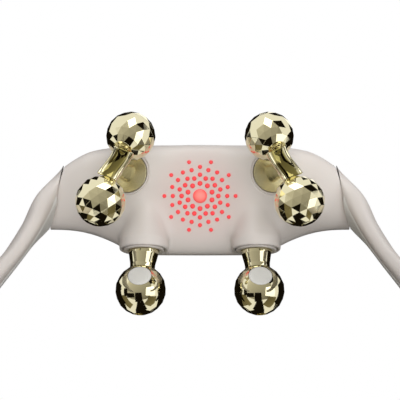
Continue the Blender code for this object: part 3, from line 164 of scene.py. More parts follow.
class MassagerSizes(bpy.types.PropertyGroup):
    """Sizes of the visible skin that can be changed without changing the frame."""
    shell_grain: bpy.props.FloatProperty(
        name="Shell grain", description="Spacing of the moulded texture", default=0.7 * MM,
        min=0.1 * MM, unit="LENGTH")
    shell_voxel: bpy.props.FloatProperty(
        name="Shell fineness", description="Size of the faces of the front shell", default=0.85 * MM,
        min=0.4 * MM, unit="LENGTH")
    shell_wall: bpy.props.FloatProperty(
        name="Shell wall", description="Wall of both shells", default=1.8 * MM, min=0.5 * MM,
        unit="LENGTH")
    edge_round: bpy.props.FloatProperty(
        name="Edge rounding", description="Rounding of moulded edges", default=0.35 * MM,
        min=0.05 * MM, unit="LENGTH")
    facets_round: bpy.props.IntProperty(
        name="Facets round a ball", description="Facets in each belt of a ball", default=16, min=8)
    facet_bands: bpy.props.IntProperty(
        name="Facet belts", description="Belts of facets between the poles of a ball", default=8, min=4)
    facet_edge: bpy.props.FloatProperty(
        name="Facet edge", description="Softened edge between two facets", default=0.10 * MM,
        min=0.01 * MM, unit="LENGTH")
    dot_stand: bpy.props.FloatProperty(
        name="Dot height", description="How far a light dot stands out of the face", default=0.45 * MM,
        min=0.1 * MM, unit="LENGTH")


class MassagerColours(bpy.types.PropertyGroup):
    """Colours of the finishes."""
    shell: bpy.props.FloatVectorProperty(
        name="Shell", description="Warm white ABS of the body and arms", subtype="COLOR",
        default=linear("D9D2CD"), min=0.0, max=1.0)
    pad: bpy.props.FloatVectorProperty(
        name="Arm liner", description="Silicone liner on the inside of the arms", subtype="COLOR",
        default=linear("E4E3E0"), min=0.0, max=1.0)
    gold: bpy.props.FloatVectorProperty(
        name="Plating", description="Champagne plating of the kneading heads", subtype="COLOR",
        default=linear("E6DEBA"), min=0.0, max=1.0)
    contact: bpy.props.FloatVectorProperty(
        name="Contact pad", description="Pale contact pads and keys", subtype="COLOR",
        default=linear("D4D3CE"), min=0.0, max=1.0)
    dot: bpy.props.FloatVectorProperty(
        name="Light dots", description="Middle of a lit dot", subtype="COLOR",
        default=linear("EC4348"), min=0.0, max=1.0)
    dot_rim: bpy.props.FloatVectorProperty(
        name="Dot rims", description="Rim of a lit dot", subtype="COLOR",
        default=linear("B0181F"), min=0.0, max=1.0)
    dome_rim: bpy.props.FloatVectorProperty(
        name="Dome rim", description="Rim of the lit dome", subtype="COLOR",
        default=linear("D8383A"), min=0.0, max=1.0)
    dome: bpy.props.FloatVectorProperty(
        name="Light dome", description="Lit dome in the middle of the light field", subtype="COLOR",
        default=linear("F08078"), min=0.0, max=1.0)


def sizes():
    """The size settings."""
    return bpy.context.scene.massager_sizes


def colours():
    """The colour settings."""
    return bpy.context.scene.massager_colours


# Materials

def add_node(tree, kind, inputs=None, **settings):
    """Add a node with its settings, its socket values and the links into it."""
    node = tree.nodes.new(kind)
    for key, value in settings.items():
        setattr(node, key, value)
    for key, value in (inputs or {}).items():
        if isinstance(value, bpy.types.NodeSocket):
            tree.links.new(value, node.inputs[key])
        else:
            node.inputs[key].default_value = value
    return node


def new_material(name):
    """A fresh material with its tree and its shader."""
    material = bpy.data.materials.new(name)
    material.use_nodes = True
    return material, material.node_tree, material.node_tree.nodes["Principled BSDF"]


def grain_bump(tree, shader, spacing, height, detail=2.0):
    """Fine relief with a real spacing and height."""
    place = add_node(tree, "ShaderNodeTexCoord")
    noise = add_node(tree, "ShaderNodeTexNoise", {
        "Vector": place.outputs["Object"], "Scale": 1.0 / spacing, "Detail": detail})
    bump = add_node(tree, "ShaderNodeBump", {"Height": noise.outputs["Fac"], "Distance": height})
    tree.links.new(bump.outputs["Normal"], shader.inputs["Normal"])
    return place, noise


def tinted(tree, shader, place, colour, spacing, spread):
    """Base colour that drifts a little lighter and darker over a real distance."""
    drift = add_node(tree, "ShaderNodeTexNoise", {
        "Vector": place.outputs["Object"], "Scale": 1.0 / spacing, "Detail": 3.0})
    dark = [c * (1 - spread) for c in colour]
    light = [min(1.0, c * (1 + spread)) for c in colour]
    mix = add_node(tree, "ShaderNodeMix", {
        "Factor": drift.outputs["Fac"], 6: (*dark, 1.0), 7: (*light, 1.0)}, data_type="RGBA")
    tree.links.new(mix.outputs[2], shader.inputs["Base Color"])
    return mix


def finish(name, grain, tint, values, over=None, gloss=None):
    """A material from its grain (spacing, height), its tint (colour, spacing, spread) and the values of
    its shader. Over is an attribute and the colour it leads to, gloss the span of its roughness."""
    if name in bpy.data.materials:
        return bpy.data.materials[name]
    material, tree, shader = new_material(name)
    place, noise = grain_bump(tree, shader, *grain)
    base = tinted(tree, shader, place, *tint)
    if over:
        share = add_node(tree, "ShaderNodeAttribute", attribute_name=over[0])
        mix = add_node(tree, "ShaderNodeMix", {
            "Factor": share.outputs["Fac"], 6: base.outputs[2], 7: (*linear(over[1]), 1.0)},
            data_type="RGBA")
        tree.links.new(mix.outputs[2], shader.inputs["Base Color"])
    if gloss:
        rough = add_node(tree, "ShaderNodeMapRange", {
            "Value": noise.outputs["Fac"], "To Min": gloss[0], "To Max": gloss[1]})
        tree.links.new(rough.outputs["Result"], shader.inputs["Roughness"])
    for key, value in values.items():
        shader.inputs[key].default_value = value
    return material


def abs_shell():
    """Injection-moulded ABS from a spark-eroded mould: a soft sheen over a very fine, even grain.
    The wall around the lit dots is painted pink as painted glow of their light, which the mesh holds as
    an attribute."""
    return finish("moulded_abs_warm_white", (sizes().shell_grain, 0.012 * MM),
                  (colours().shell, 22.0 * MM, 0.012),
                  {"IOR": 1.53, "Subsurface Weight": 0.06, "Subsurface Radius": (0.0020, 0.0014, 0.0011)},
                  ("light_halo", "F0A9A6"), (0.40, 0.50))


def silicone_liner():
    """Compression-moulded silicone: matte, with a soft powdery sheen and faint moulding drift."""
    return finish("moulded_silicone_liner", (0.55 * MM, 0.015 * MM), (colours().pad, 14.0 * MM, 0.015),
                  {"Roughness": 0.62, "IOR": 1.41, "Sheen Weight": 0.15, "Sheen Roughness": 0.5})


def plated_abs():
    """Vacuum-metallised ABS, champagne: mirror bright, with the faint waviness of a lacquer coat.
    The strap's channel is painted a darker olive as painted shade, which the casting holds as an
    attribute."""
    return finish("vacuum_metallised_champagne", (2.4 * MM, 0.006 * MM, 1.0),
                  (colours().gold, 9.0 * MM, 0.02), {"Metallic": 1.0},
                  ("thin_plating", "8F8550"), (0.045, 0.085))


def satin_plated_abs():
    """Vacuum-metallised ABS over a satin tool: the same champagne with a soft, spread reflection."""
    return finish("satin_metallised_champagne", (0.9 * MM, 0.004 * MM), (colours().gold, 7.0 * MM, 0.02),
                  {"Roughness": 0.27, "Metallic": 1.0})


def pale_abs():
    """Polished ABS, pale grey: smooth, with a low even gloss."""
    return finish("polished_abs_pale_grey", (1.6 * MM, 0.004 * MM), (colours().contact, 5.0 * MM, 0.012),
                  {"Roughness": 0.30, "IOR": 1.53})


def drawn_steel():
    """Zinc-plated steel, drawn or turned: a bright skin over a fine drawn grain."""
    return finish("zinc_plated_steel", (0.35 * MM, 0.005 * MM), (linear("B9BBBD"), 6.0 * MM, 0.05),
                  {"Metallic": 1.0, "Roughness": 0.28})


def sintered_bronze():
    """Sintered bronze bush: open pores, oil-dark and satin."""
    return finish("sintered_bronze", (0.25 * MM, 0.010 * MM), (linear("B08A4E"), 1.5 * MM, 0.10),
                  {"Metallic": 1.0, "Roughness": 0.45})


def gear_nylon():
    """Injection-moulded nylon for gears: waxy, slightly translucent, natural white."""
    return finish("moulded_natural_nylon", (0.5 * MM, 0.006 * MM), (linear("E6E1D2"), 4.0 * MM, 0.03),
                  {"Roughness": 0.48, "IOR": 1.53, "Subsurface Weight": 0.15,
                   "Subsurface Radius": (0.0010, 0.0009, 0.0008)})


def dark_nylon():
    """Glass-filled nylon, dark grey: matte with short glass fibres near the skin."""
    return finish("glass_filled_nylon_dark", (0.4 * MM, 0.012 * MM), (linear("3A3B3E"), 2.0 * MM, 0.12),
                  {"Roughness": 0.58})


def shrink_wrap():
    """Heat-shrunk PVC film on the battery: thin, grey, with soft ripples."""
    return finish("heat_shrunk_pvc_grey", (5.0 * MM, 0.08 * MM), (linear("8C9298"), 8.0 * MM, 0.06),
                  {"Roughness": 0.35})


def solder_mask():
    """Glass-epoxy board under green solder mask: glossy over faint glass weave."""
    name = "green_solder_mask"
    if name in bpy.data.materials:
        return bpy.data.materials[name]
    material, tree, shader = new_material(name)
    place = add_node(tree, "ShaderNodeTexCoord")
    weave = add_node(tree, "ShaderNodeTexWave", {
        "Vector": place.outputs["Object"], "Scale": 1.0 / (1.2 * MM), "Distortion": 0.6})
    bump = add_node(tree, "ShaderNodeBump", {"Height": weave.outputs["Fac"], "Distance": 0.004 * MM})
    tree.links.new(bump.outputs["Normal"], shader.inputs["Normal"])
    tinted(tree, shader, place, linear("1F6B3F"), 3.0 * MM, 0.10)
    shader.inputs["Roughness"].default_value = 0.30
    return material


def lit_polycarbonate(piece, rim, core):
    """Moulded polycarbonate light guide, lit from behind: brighter where it is thin, at its middle."""
    material, tree, shader = new_material("lit_polycarbonate_" + piece)
    glow = add_node(tree, "ShaderNodeAttribute", attribute_name="light_core")
    mix = add_node(tree, "ShaderNodeMix", {
        "Factor": glow.outputs["Fac"], 6: (*rim, 1.0), 7: (*core, 1.0)}, data_type="RGBA")
    grain_bump(tree, shader, 0.8 * MM, 0.004 * MM)
    for socket in ("Base Color", "Emission Color"):
        tree.links.new(mix.outputs[2], shader.inputs[socket])
    for socket, value in (("Emission Strength", 0.5), ("Roughness", 0.22), ("IOR", 1.58)):
        shader.inputs[socket].default_value = value
    return material


# Shapes

def superellipse(angle, power):
    """Unit point of a rounded square section."""
    return tuple(math.copysign(abs(c) ** (2.0 / power), c) for c in (math.cos(angle), math.sin(angle)))


def section(points, power):
    """Unit points round a rounded square section."""
    return [superellipse(2 * math.pi * i / points, power) for i in range(points)]


def frame_matrix(origin, axis, side_hint):
    """A placement whose local Z runs along the axis and whose local X lies near the hint."""
    z = Vector(axis).normalized()
    x = Vector(side_hint)
    x = (x - z * x.dot(z)).normalized()
    return Matrix.Translation(origin) @ Matrix((x, z.cross(x), z)).transposed().to_4x4()


def head_frame(side):
    """Seat of a kneading turntable: Z out of the face, X towards its low ball."""
    axis = (side * math.sin(HEAD_CANT), -math.cos(HEAD_CANT), math.sin(HEAD_PITCH))
    row = (-side * math.sin(ROW_LEAN), 0.0, math.cos(ROW_LEAN))
    return frame_matrix((side * HEAD_X, 0.0, HEAD_Z), axis, row)


def lower_frame(side, lean=0.0):
    """Mouth of a lower boss: Z down and forward along the neck, X outward."""
    axis = Vector((0.0, -math.sin(LOWER_TILT), -math.cos(LOWER_TILT)))
    outward = Vector((side, 0.0, 0.0))
    x, y, z = LOWER_MOUTH
    return frame_matrix((side * x, y, z), axis * math.cos(lean) + outward * math.sin(lean), outward)


def link(name, mesh, material=None, matrix=None, smooth=math.radians(35.0)):
    """Link a mesh as a named piece."""
    thing = bpy.data.objects.new(name, mesh)
    bpy.context.scene.collection.objects.link(thing)
    if material:
        mesh.materials.append(material)
    if matrix is not None:
        thing.matrix_world = matrix
    if smooth is not None and mesh.polygons:
        mesh.shade_smooth()
        mesh.set_sharp_from_angle(angle=smooth)
    return thing


def mesh_from(bm, name):
    """A named mesh from a finished bmesh."""
    mesh = bpy.data.meshes.new(name)
    bm.to_mesh(mesh)
    bm.free()
    return mesh


def span(bm, rows, closed=True):
    """Faces between rows of equal point counts."""
    count = len(rows[0])
    for first, second in zip(rows, rows[1:]):
        for i in range(count if closed else count - 1):
            j = (i + 1) % count
            bm.faces.new((first[i], first[j], second[j], second[i]))


def loft_mesh(name, rings, closed=True):
    """A solid through closed rings, or a skin through open ones."""
    bm = bmesh.new()
    rows = [[bm.verts.new(point) for point in ring] for ring in rings]
    span(bm, rows, closed)
    if closed:
        bm.faces.new(rows[0])
        bm.faces.new(list(reversed(rows[-1])))
    bmesh.ops.recalc_face_normals(bm, faces=bm.faces)
    return mesh_from(bm, name)


def rounded(profile, radius):
    """A profile whose inner corners are rounded, its first and last points kept."""
    points = [Vector((r, z)) for r, z in profile]
    result = [points[0]]
    for before, here, after in zip(points, points[1:], points[2:]):
        one, two = before - here, after - here
        reach = min(radius, one.length * 0.45, two.length * 0.45)
        start, end = here + one.normalized() * reach, here + two.normalized() * reach
        for t in (0.0, 0.25, 0.5, 0.75, 1.0):
            result.append(start * (1 - t) ** 2 + here * 2 * t * (1 - t) + end * t * t)
    result.append(points[-1])
    return [(p.x, p.y) for p in result]


def shaped(thing, kind, **settings):
    """Give a piece a modifier with its settings."""
    modifier = thing.modifiers.new(kind.lower(), kind)
    for key, value in settings.items():
        setattr(modifier, key, value)
    return thing


def turned(name, profile, matrix, material, steps=72):
    """A turned piece: (radius, height) points down the outer side, turned about local Z."""
    mesh = bpy.data.meshes.new(name)
    closed = (Vector(profile[0]) - Vector(profile[-1])).length < 1e-9
    points = [(r, 0.0, z) for r, z in (profile[:-1] if closed else profile)]
    count = len(points)
    mesh.from_pydata(points, [(i, (i + 1) % count) for i in range(count if closed else count - 1)], [])
    thing = link(name, mesh, material, matrix)
    return shaped(thing, "SCREW", axis="Z", steps=steps, render_steps=steps, use_merge_vertices=True,
                  merge_threshold=0.002 * MM, use_smooth_shade=True)


def combine(target, operation, helpers):
    """Work helpers into a piece and hide them."""
    for other in helpers:
        shaped(target, "BOOLEAN", operation=operation, object=other)
        other.hide_render = other.hide_viewport = True
    return target


def join(target, *helpers):
    """Add helpers to a piece."""
    return combine(target, "UNION", helpers)


def cut(target, *helpers):
    """Cut helpers out of a piece."""
    return combine(target, "DIFFERENCE", helpers)


def bar(name, radius, start, end, matrix, sides=64):
    """A round helper bar along local Z."""
    bm = bmesh.new()
    bmesh.ops.create_cone(bm, cap_ends=True, segments=sides, radius1=radius, radius2=radius,
                          depth=end - start, matrix=Matrix.Translation((0, 0, (start + end) / 2)))
    return link(name, mesh_from(bm, name), matrix=matrix)


def block(name, size, centre, matrix):
    """A square helper block about its centre."""
    bm = bmesh.new()
    place = Matrix.Translation(centre) @ Matrix.Diagonal((*size, 1.0))
    bmesh.ops.create_cube(bm, size=1.0, matrix=place)
    return link(name, mesh_from(bm, name), matrix=matrix, smooth=None)


def settled(thing, name):
    """The evaluated mesh of a piece in world space, with the piece and its helpers removed."""
    bpy.context.view_layer.update()
    evaluated = thing.evaluated_get(bpy.context.evaluated_depsgraph_get())
    mesh = bpy.data.meshes.new_from_object(evaluated)
    mesh.transform(thing.matrix_world)
    mesh.name = name
    for modifier in thing.modifiers:
        if modifier.type == "BOOLEAN":
            bpy.data.objects.remove(modifier.object, do_unlink=True)
    bpy.data.objects.remove(thing, do_unlink=True)
    return mesh


def voxel(thing, size):
    """Remesh a piece evenly, which blends what it was joined from."""
    return shaped(thing, "REMESH", mode="VOXEL", voxel_size=size)


def points_of(mesh):
    """Vertex places as an array."""
    co = np.empty(len(mesh.vertices) * 3, np.float32)
    mesh.vertices.foreach_get("co", co)
    return co.reshape(-1, 3).astype(float)


def set_points(mesh, co):
    """Write vertex places back."""
    mesh.vertices.foreach_set("co", co.astype(np.float32).ravel())
    mesh.update()


def hold(mesh, name, values):
    """Hold a value for each vertex as an attribute that a material reads."""
    layer = mesh.attributes.new(name, "FLOAT", "POINT")
    layer.data.foreach_set("value", values.astype(np.float32))


def relax(mesh, rounds, weight):
    """Smooth a mesh towards its neighbours, by a weight for each vertex."""
    co = points_of(mesh)
    pairs = np.empty(len(mesh.edges) * 2, np.int32)
    mesh.edges.foreach_get("vertices", pairs)
    pairs = pairs.reshape(-1, 2)
    count = len(co)
    degree = np.bincount(pairs.ravel(), minlength=count).clip(1)
    weight = np.broadcast_to(weight, (count,))[:, None]
    for _ in range(rounds):
        total = np.stack([
            np.bincount(pairs[:, 0], co[pairs[:, 1], k], count)
            + np.bincount(pairs[:, 1], co[pairs[:, 0], k], count) for k in range(3)], axis=1)
        co += weight * (total / degree[:, None] - co)
    set_points(mesh, co)


def ramp(values, low, high):
    """Smooth step from 0 at low to 1 at high."""
    t = np.clip((values - low) / (high - low), 0.0, 1.0)
    return t * t * (3 - 2 * t)


def place_in(matrix, co):
    """Points in the local space of a placement."""
    inverse = np.array(matrix.inverted())
    return co @ inverse[:3, :3].T + inverse[:3, 3]


def upright(thing):
    """Settle a piece that was made in a leaning place, so that its box follows its real shape."""
    place = thing.matrix_world.copy()
    if abs(place.to_quaternion().w) > 0.999999:
        return thing
    name = thing.name
    mesh = settled(thing, name)
    mesh.transform(Matrix.Translation(-place.translation))
    return link(name, mesh, None, Matrix.Translation(place.translation), smooth=None)


def finish_piece(thing, body, node):
    """Settle the piece upright, ride on a body and stand for the CAD node, which is hidden."""
    thing = upright(thing)
    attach(thing, body)
    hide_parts(node)


def soften(thing, width, degrees=40.0, segments=2, harden=True):
    """Round the edges of a piece that are sharper than an angle."""
    return shaped(thing, "BEVEL", width=width, segments=segments, limit_method="ANGLE",
                  angle_limit=math.radians(degrees), harden_normals=harden)


# Body shells

def body_sizes(share):
    """Top, bottom and depth at a share of the half width, run on past the ends."""
    share = abs(share)
    pairs = list(zip(STATION_SHARES, STATION_SHARES[1:]))
    low, high = next((pair for pair in pairs if share <= pair[1][0]), pairs[-1])
    mix = (share - low[0]) / (high[0] - low[0])
    top, bottom, depth = (low[i] + (high[i] - low[i]) * mix for i in (1, 2, 3))
    return Vector((BODY_TOP * top, -BODY_END_BOTTOM - (BODY_BOTTOM - BODY_END_BOTTOM) * bottom,
                   BODY_END_DEPTH + (BODY_DEPTH - BODY_END_DEPTH) * depth))


def smooth_sizes(share):
    """The body's sizes without the corners between its stations, as a mean over a short way."""
    spread, steps = 0.07, 7
    near = (share + spread * (2 * i / (steps - 1) - 1) for i in range(steps))
    return sum((body_sizes(s) for s in near), Vector((0.0, 0.0, 0.0))) / steps


def body_point(share, angle):
    """A point on the body's skin at a signed share of the half width."""
    top, bottom, depth = smooth_sizes(share)
    power = BODY_ROUNDNESS + (END_ROUNDNESS - BODY_ROUNDNESS) * min(abs(share), 1.0)
    c, s = superellipse(angle, power)
    y = depth / 2 * (1 + c)
    z = (top + bottom) / 2 + (top - bottom) / 2 * s
    soft = 0.35 * MM
    if REST_FACE_Y - y < 20 * soft:
        y = REST_FACE_Y - soft * math.log1p(math.exp((REST_FACE_Y - y) / soft))
    x = BODY_HALF_WIDTH * abs(share) - SEAM_SLANT * share ** 4 * z
    return Vector((math.copysign(x, share), y, z))


def share_of(co):
    """Share of the half width that each point lies at."""
    x, z = np.abs(co[:, 0]), co[:, 2]
    share = x / BODY_HALF_WIDTH
    for _ in range(6):
        share = (x + SEAM_SLANT * share ** 4 * z) / BODY_HALF_WIDTH
    return share


def depth_at(share):
    """Body depth at each share."""
    grid = np.linspace(0.0, 1.2, 121)
    return np.interp(share, grid, [smooth_sizes(s)[2] for s in grid])


def painted_glow_of(co):
    """How much painted glow of the lit dots each point of the face gets: a ring round each dot and a
    faint wide glow round the light field.
    """
    near = co[:, 1] < 6.0 * MM
    out = np.hypot(co[:, 0], co[:, 2])
    # Faint wide painted glow round the light field, then a painted glow ring round the dome and each dot
    glow_share = np.where(near, 0.16 * (1 - ramp(out, 18.0 * MM, 42.0 * MM)), 0.0)
    for x, z, radius in [(0.0, 0.0, DOME_RADIUS)] + dot_places():
        away = np.hypot(co[near, 0] - x, co[near, 2] - z) - radius
        glow_share[near] = np.maximum(glow_share[near], 0.55 * np.exp(-(np.maximum(away, 0.0) / (0.75 * MM)) ** 2))
    return glow_share


def dot_places():
    """Places and radii of the light dots on the face."""
    return [(ring * math.cos(a), ring * math.sin(a), dot) for ring, dot, half in DOT_RINGS
            for a in (2 * math.pi * (i + half / 2) / DOTS_PER_RING for i in range(DOTS_PER_RING))]


def front_block():
    """Body, turntable seats and lower bosses as one block, with their bores cut in."""
    # The block runs a little past both seams, where it is cut back later
    rings = [[body_point(share, 2 * math.pi * i / 72) for i in range(72)]
             for share in np.linspace(-1.04, 1.04, 79)]
    base = link("front_block", loft_mesh("front_block", rings))
    rim = BOSS_RADIUS + 0.5 * MM
    for label, side in SIDES:
        join(base, bar("seat_" + label, CUP_RADIUS + 3.4 * MM, -12.0 * MM, -0.2 * MM, head_frame(side)),
             turned("boss_" + label, (
                 (0.0, 0.2 * MM), (rim, 0.2 * MM), (rim, -8.0 * MM), (8.0 * MM, -40.0 * MM),
                 (0.0, -40.0 * MM)), lower_frame(side), None))
    for label, side in SIDES:
        cut(base, bar("recess_" + label, CUP_RADIUS - 0.5 * MM, -14.0 * MM, 6.0 * MM, head_frame(side)),
            bar("mouth_" + label, BOSS_RADIUS - 1.9 * MM, -9.0 * MM, 6.0 * MM, lower_frame(side)))
    return voxel(base, sizes().shell_voxel)


def about_axis(matrix, co):
    """Distance of each point from a placement's axis and its way along it."""
    local = place_in(matrix, co)
    return np.hypot(local[:, 0], local[:, 1]), local[:, 2]


def in_bore(matrix, co, radius, deep, shallow):
    """Which points lie inside a bore between two depths."""
    off_axis, along = about_axis(matrix, co)
    return (off_axis < radius) & (along > deep) & (along < shallow)


def slice_off(bm, place, normal):
    """Cut away what lies beyond a plane."""
    bmesh.ops.bisect_plane(bm, geom=bm.verts[:] + bm.edges[:] + bm.faces[:], plane_co=place,
                           plane_no=normal, clear_outer=True)


def trimmed(mesh):
    """Cut the block back to the front shell: open behind the split, at the seams and in the bores."""
    co = points_of(mesh)
    drop = np.zeros(len(co), bool)
    for _, side in SIDES:
        drop |= in_bore(head_frame(side), co, CUP_RADIUS - 1.0 * MM, -15.5 * MM, -9.0 * MM)
        drop |= in_bore(lower_frame(side), co, BOSS_RADIUS - 3.0 * MM, -10.5 * MM, -6.5 * MM)
    # As a share of the body's depth, the split between the shells is a plane
    co[:, 1] /= depth_at(share_of(co))
    set_points(mesh, co)
    bm = bmesh.new()
    bm.from_mesh(mesh)
    bm.verts.ensure_lookup_table()
    bmesh.ops.delete(bm, geom=[bm.verts[i] for i in np.nonzero(drop)[0]], context="VERTS")
    slice_off(bm, (0.0, SPLIT_SHARE, 0.0), (0.0, 1.0, 0.0))
    for _, side in SIDES:
        slice_off(bm, (side * BODY_HALF_WIDTH, 0.0, 0.0), (side, 0.0, SEAM_SLANT))
    bm.to_mesh(mesh)
    bm.free()
    co = points_of(mesh)
    co[:, 1] *= depth_at(share_of(co))
    set_points(mesh, co)
    return mesh


def largest_island(mesh):
    """Keep only the largest connected skin."""
    bm = bmesh.new()
    bm.from_mesh(mesh)
    left = set(bm.verts)
    islands = []
    while left:
        stack = [left.pop()]
        island = set(stack)
        while stack:
            for edge in stack.pop().link_edges:
                for vert in edge.verts:
                    if vert in left:
                        left.discard(vert)
                        island.add(vert)
                        stack.append(vert)
        islands.append(island)
    keep = max(islands, key=len)
    bmesh.ops.delete(bm, geom=[v for v in bm.verts if v not in keep], context="VERTS")
    bm.to_mesh(mesh)
    bm.free()
    return mesh


class MASSAGER_OT_front_shell(bpy.types.Operator):
    """Front shell with turntable seats and lower bosses blended into the face"""
    bl_idname = "massager.front_shell"
    bl_label = "Front Shell"

    def execute(self, context):
        mesh = settled(front_block(), "front_shell")
        relax(mesh, 6, 0.5)
        co = points_of(mesh)
        # Each boss and seat is blended into the face between these distances from its axis
        weight = np.zeros(len(co))
        for _, side in SIDES:
            off_axis, along = about_axis(lower_frame(side), co)
            boss = ramp(-along, 6.0 * MM, 16.0 * MM) * (1 - ramp(off_axis, 22.0 * MM, 34.0 * MM))
            off_axis, along = about_axis(head_frame(side), co)
            near = along > -16.0 * MM
            seat = (ramp(off_axis, CUP_RADIUS + 0.9 * MM, CUP_RADIUS + 3.0 * MM)
                    * (1 - ramp(off_axis, 25.0 * MM, 33.0 * MM)) * near)
            weight = np.maximum(weight, np.maximum(boss, seat))
            weight[(off_axis < CUP_RADIUS + 1.0 * MM) & near] = 0.0
        weight *= 1 - ramp(co[:, 1], 14.0 * MM, 20.0 * MM)
        relax(mesh, 160, 0.5 * weight)
        mesh = largest_island(trimmed(mesh))
        # Painted glow of the lit dots, put into the face's colour
        hold(mesh, "light_halo", painted_glow_of(points_of(mesh)))
        shell = walled(link("front_shell", mesh, abs_shell()))
        finish_piece(shell, "body", "front_housing")
        return {"FINISHED"}


def walled(shell):
    """Give a shell its wall, inward from its skin."""
    return shaped(shell, "SOLIDIFY", thickness=sizes().shell_wall, offset=-1.0, use_rim=True)


class MASSAGER_OT_back_shell(bpy.types.Operator):
    """Back shell with its flat rest face, screw wells and charging slot"""
    bl_idname = "massager.back_shell"
    bl_label = "Back Shell"

    def execute(self, context):
        rings = []
        for share in np.linspace(-1.0, 1.0, 101):
            ring = [body_point(share, math.pi * (i / 48 - 0.5)) for i in range(49)]
            for spot in (ring[0], ring[-1]):
                spot.y = smooth_sizes(share)[2] * SPLIT_SHARE + 0.3 * MM
            rings.append(ring)
        shell = walled(link("back_shell", loft_mesh("back_shell", rings, False), abs_shell()))
        for corner in ("left_top", "left_bottom", "right_top", "right_bottom"):
            low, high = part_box("shell_screw_" + corner)
            head = ((low.x + high.x) / 2, high.y, (low.z + high.z) / 2)
            well = frame_matrix(head, (0, 1, 0), (1, 0, 0))
            radius = (high.x - low.x) / 2 + 0.3 * MM
            cut(shell, bar("well_" + corner, radius, -4.0 * MM, 30.0 * MM, well, 40))
        low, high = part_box("charging_port")
        gap = 0.6 * MM
        cut(shell, block("port_slot", (high.x - low.x + gap, high.y - low.y + gap, 12.0 * MM),
                         ((low.x + high.x) / 2, (low.y + high.y) / 2, low.z), Matrix()))
        soften(shell, sizes().edge_round)
        finish_piece(shell, "body", "back_cover")
        return {"FINISHED"}


def add_dome(bm, core, seat, radius, height, sides):
    """One light dome on its seat, with the share of light that reaches each point."""
    rows = []
    # Shares of radius and height for each row, the first one sunk into the face
    levels = [(1.0, -2.6 * MM / height)] + [
        (math.cos(a), math.sin(a)) for a in (math.pi / 2 * k / 5 for k in range(5))]
    for reach, rise in levels:
        row = []
        for i in range(sides):
            turn = 2 * math.pi * i / sides
            vert = bm.verts.new(seat @ Vector((radius * reach * math.cos(turn),
                                               radius * reach * math.sin(turn), height * rise)))
            vert[core] = max(0.0, rise) ** 1.5
            row.append(vert)
        rows.append(row)
    top = bm.verts.new(seat @ Vector((0, 0, height)))
    top[core] = 1.0
    span(bm, rows)
    for i in range(sides):
        bm.faces.new((rows[-1][i], rows[-1][(i + 1) % sides], top))
    bm.faces.new(list(reversed(rows[0])))


class MASSAGER_OT_light_field(bpy.types.Operator):
    """Red dome and six rings of lit dots, seated on the face"""
    bl_idname = "massager.light_field"
    bl_label = "Light Field"

    def execute(self, context):
        shell = bpy.data.objects.get("front_shell")
        if shell is None:
            raise RuntimeError("the light field sits on the front shell, which isn't there yet")
        tree = BVHTree.FromPolygons([v.co for v in shell.data.vertices],
                                    [p.vertices for p in shell.data.polygons])
        tones = colours()
        dots = [(x, z, radius, sizes().dot_stand, 18) for x, z, radius in dot_places()]
        for piece, spots, rim, middle in (
                ("dome", [(0.0, 0.0, DOME_RADIUS, DOME_STAND, 40)], tones.dome_rim, tones.dome),
                ("dots", dots, tones.dot_rim, tones.dot)):
            bm = bmesh.new()
            core = bm.verts.layers.float.new("light_core")
            for x, z, radius, height, sides in spots:
                hit, normal, _, _ = tree.ray_cast(Vector((x, -20.0 * MM, z)), Vector((0, 1, 0)))
                if hit is None:
                    raise RuntimeError("a light dot misses the face")
                seat = frame_matrix(hit, normal if normal.y < 0 else -normal, (1, 0, 0))
                add_dome(bm, core, seat, radius, height, sides)
            bmesh.ops.recalc_face_normals(bm, faces=bm.faces)
            name = "light_" + piece
            thing = link(name, mesh_from(bm, name), lit_polycarbonate(piece, rim, middle))
            finish_piece(thing, "body", "light_lens")
        return {"FINISHED"}


# Kneading heads

def pole_height(radius, pole_radius):
    """Distance of a ball's flat pole from its centre."""
    return math.sqrt(radius ** 2 - pole_radius ** 2)


def faceted_rows(radius, start, end, bands, count):
    """Rows of points from latitude to latitude, each turned half a step from the last."""
    rows = []
    for band in range(bands + 1):
        latitude = start + (end - start) * band / bands
        rows.append([Vector((radius * math.cos(latitude) * math.cos(turn),
                             radius * math.cos(latitude) * math.sin(turn), radius * math.sin(latitude)))
                     for turn in (2 * math.pi * (i + (band % 2) / 2) / count for i in range(count))])
    return rows


def facet_triangles(rows):
    """Triangles between rows that are turned half a step from each other."""
    count = len(rows[0])
    for band, (low, high) in enumerate(zip(rows, rows[1:])):
        for i in range(count):
            j = (i + 1) % count
            if band % 2:
                yield low[i], high[j], high[i]
                yield low[i], low[j], high[j]
            else:
                yield low[i], low[j], high[i]
                yield high[i], low[j], high[j]


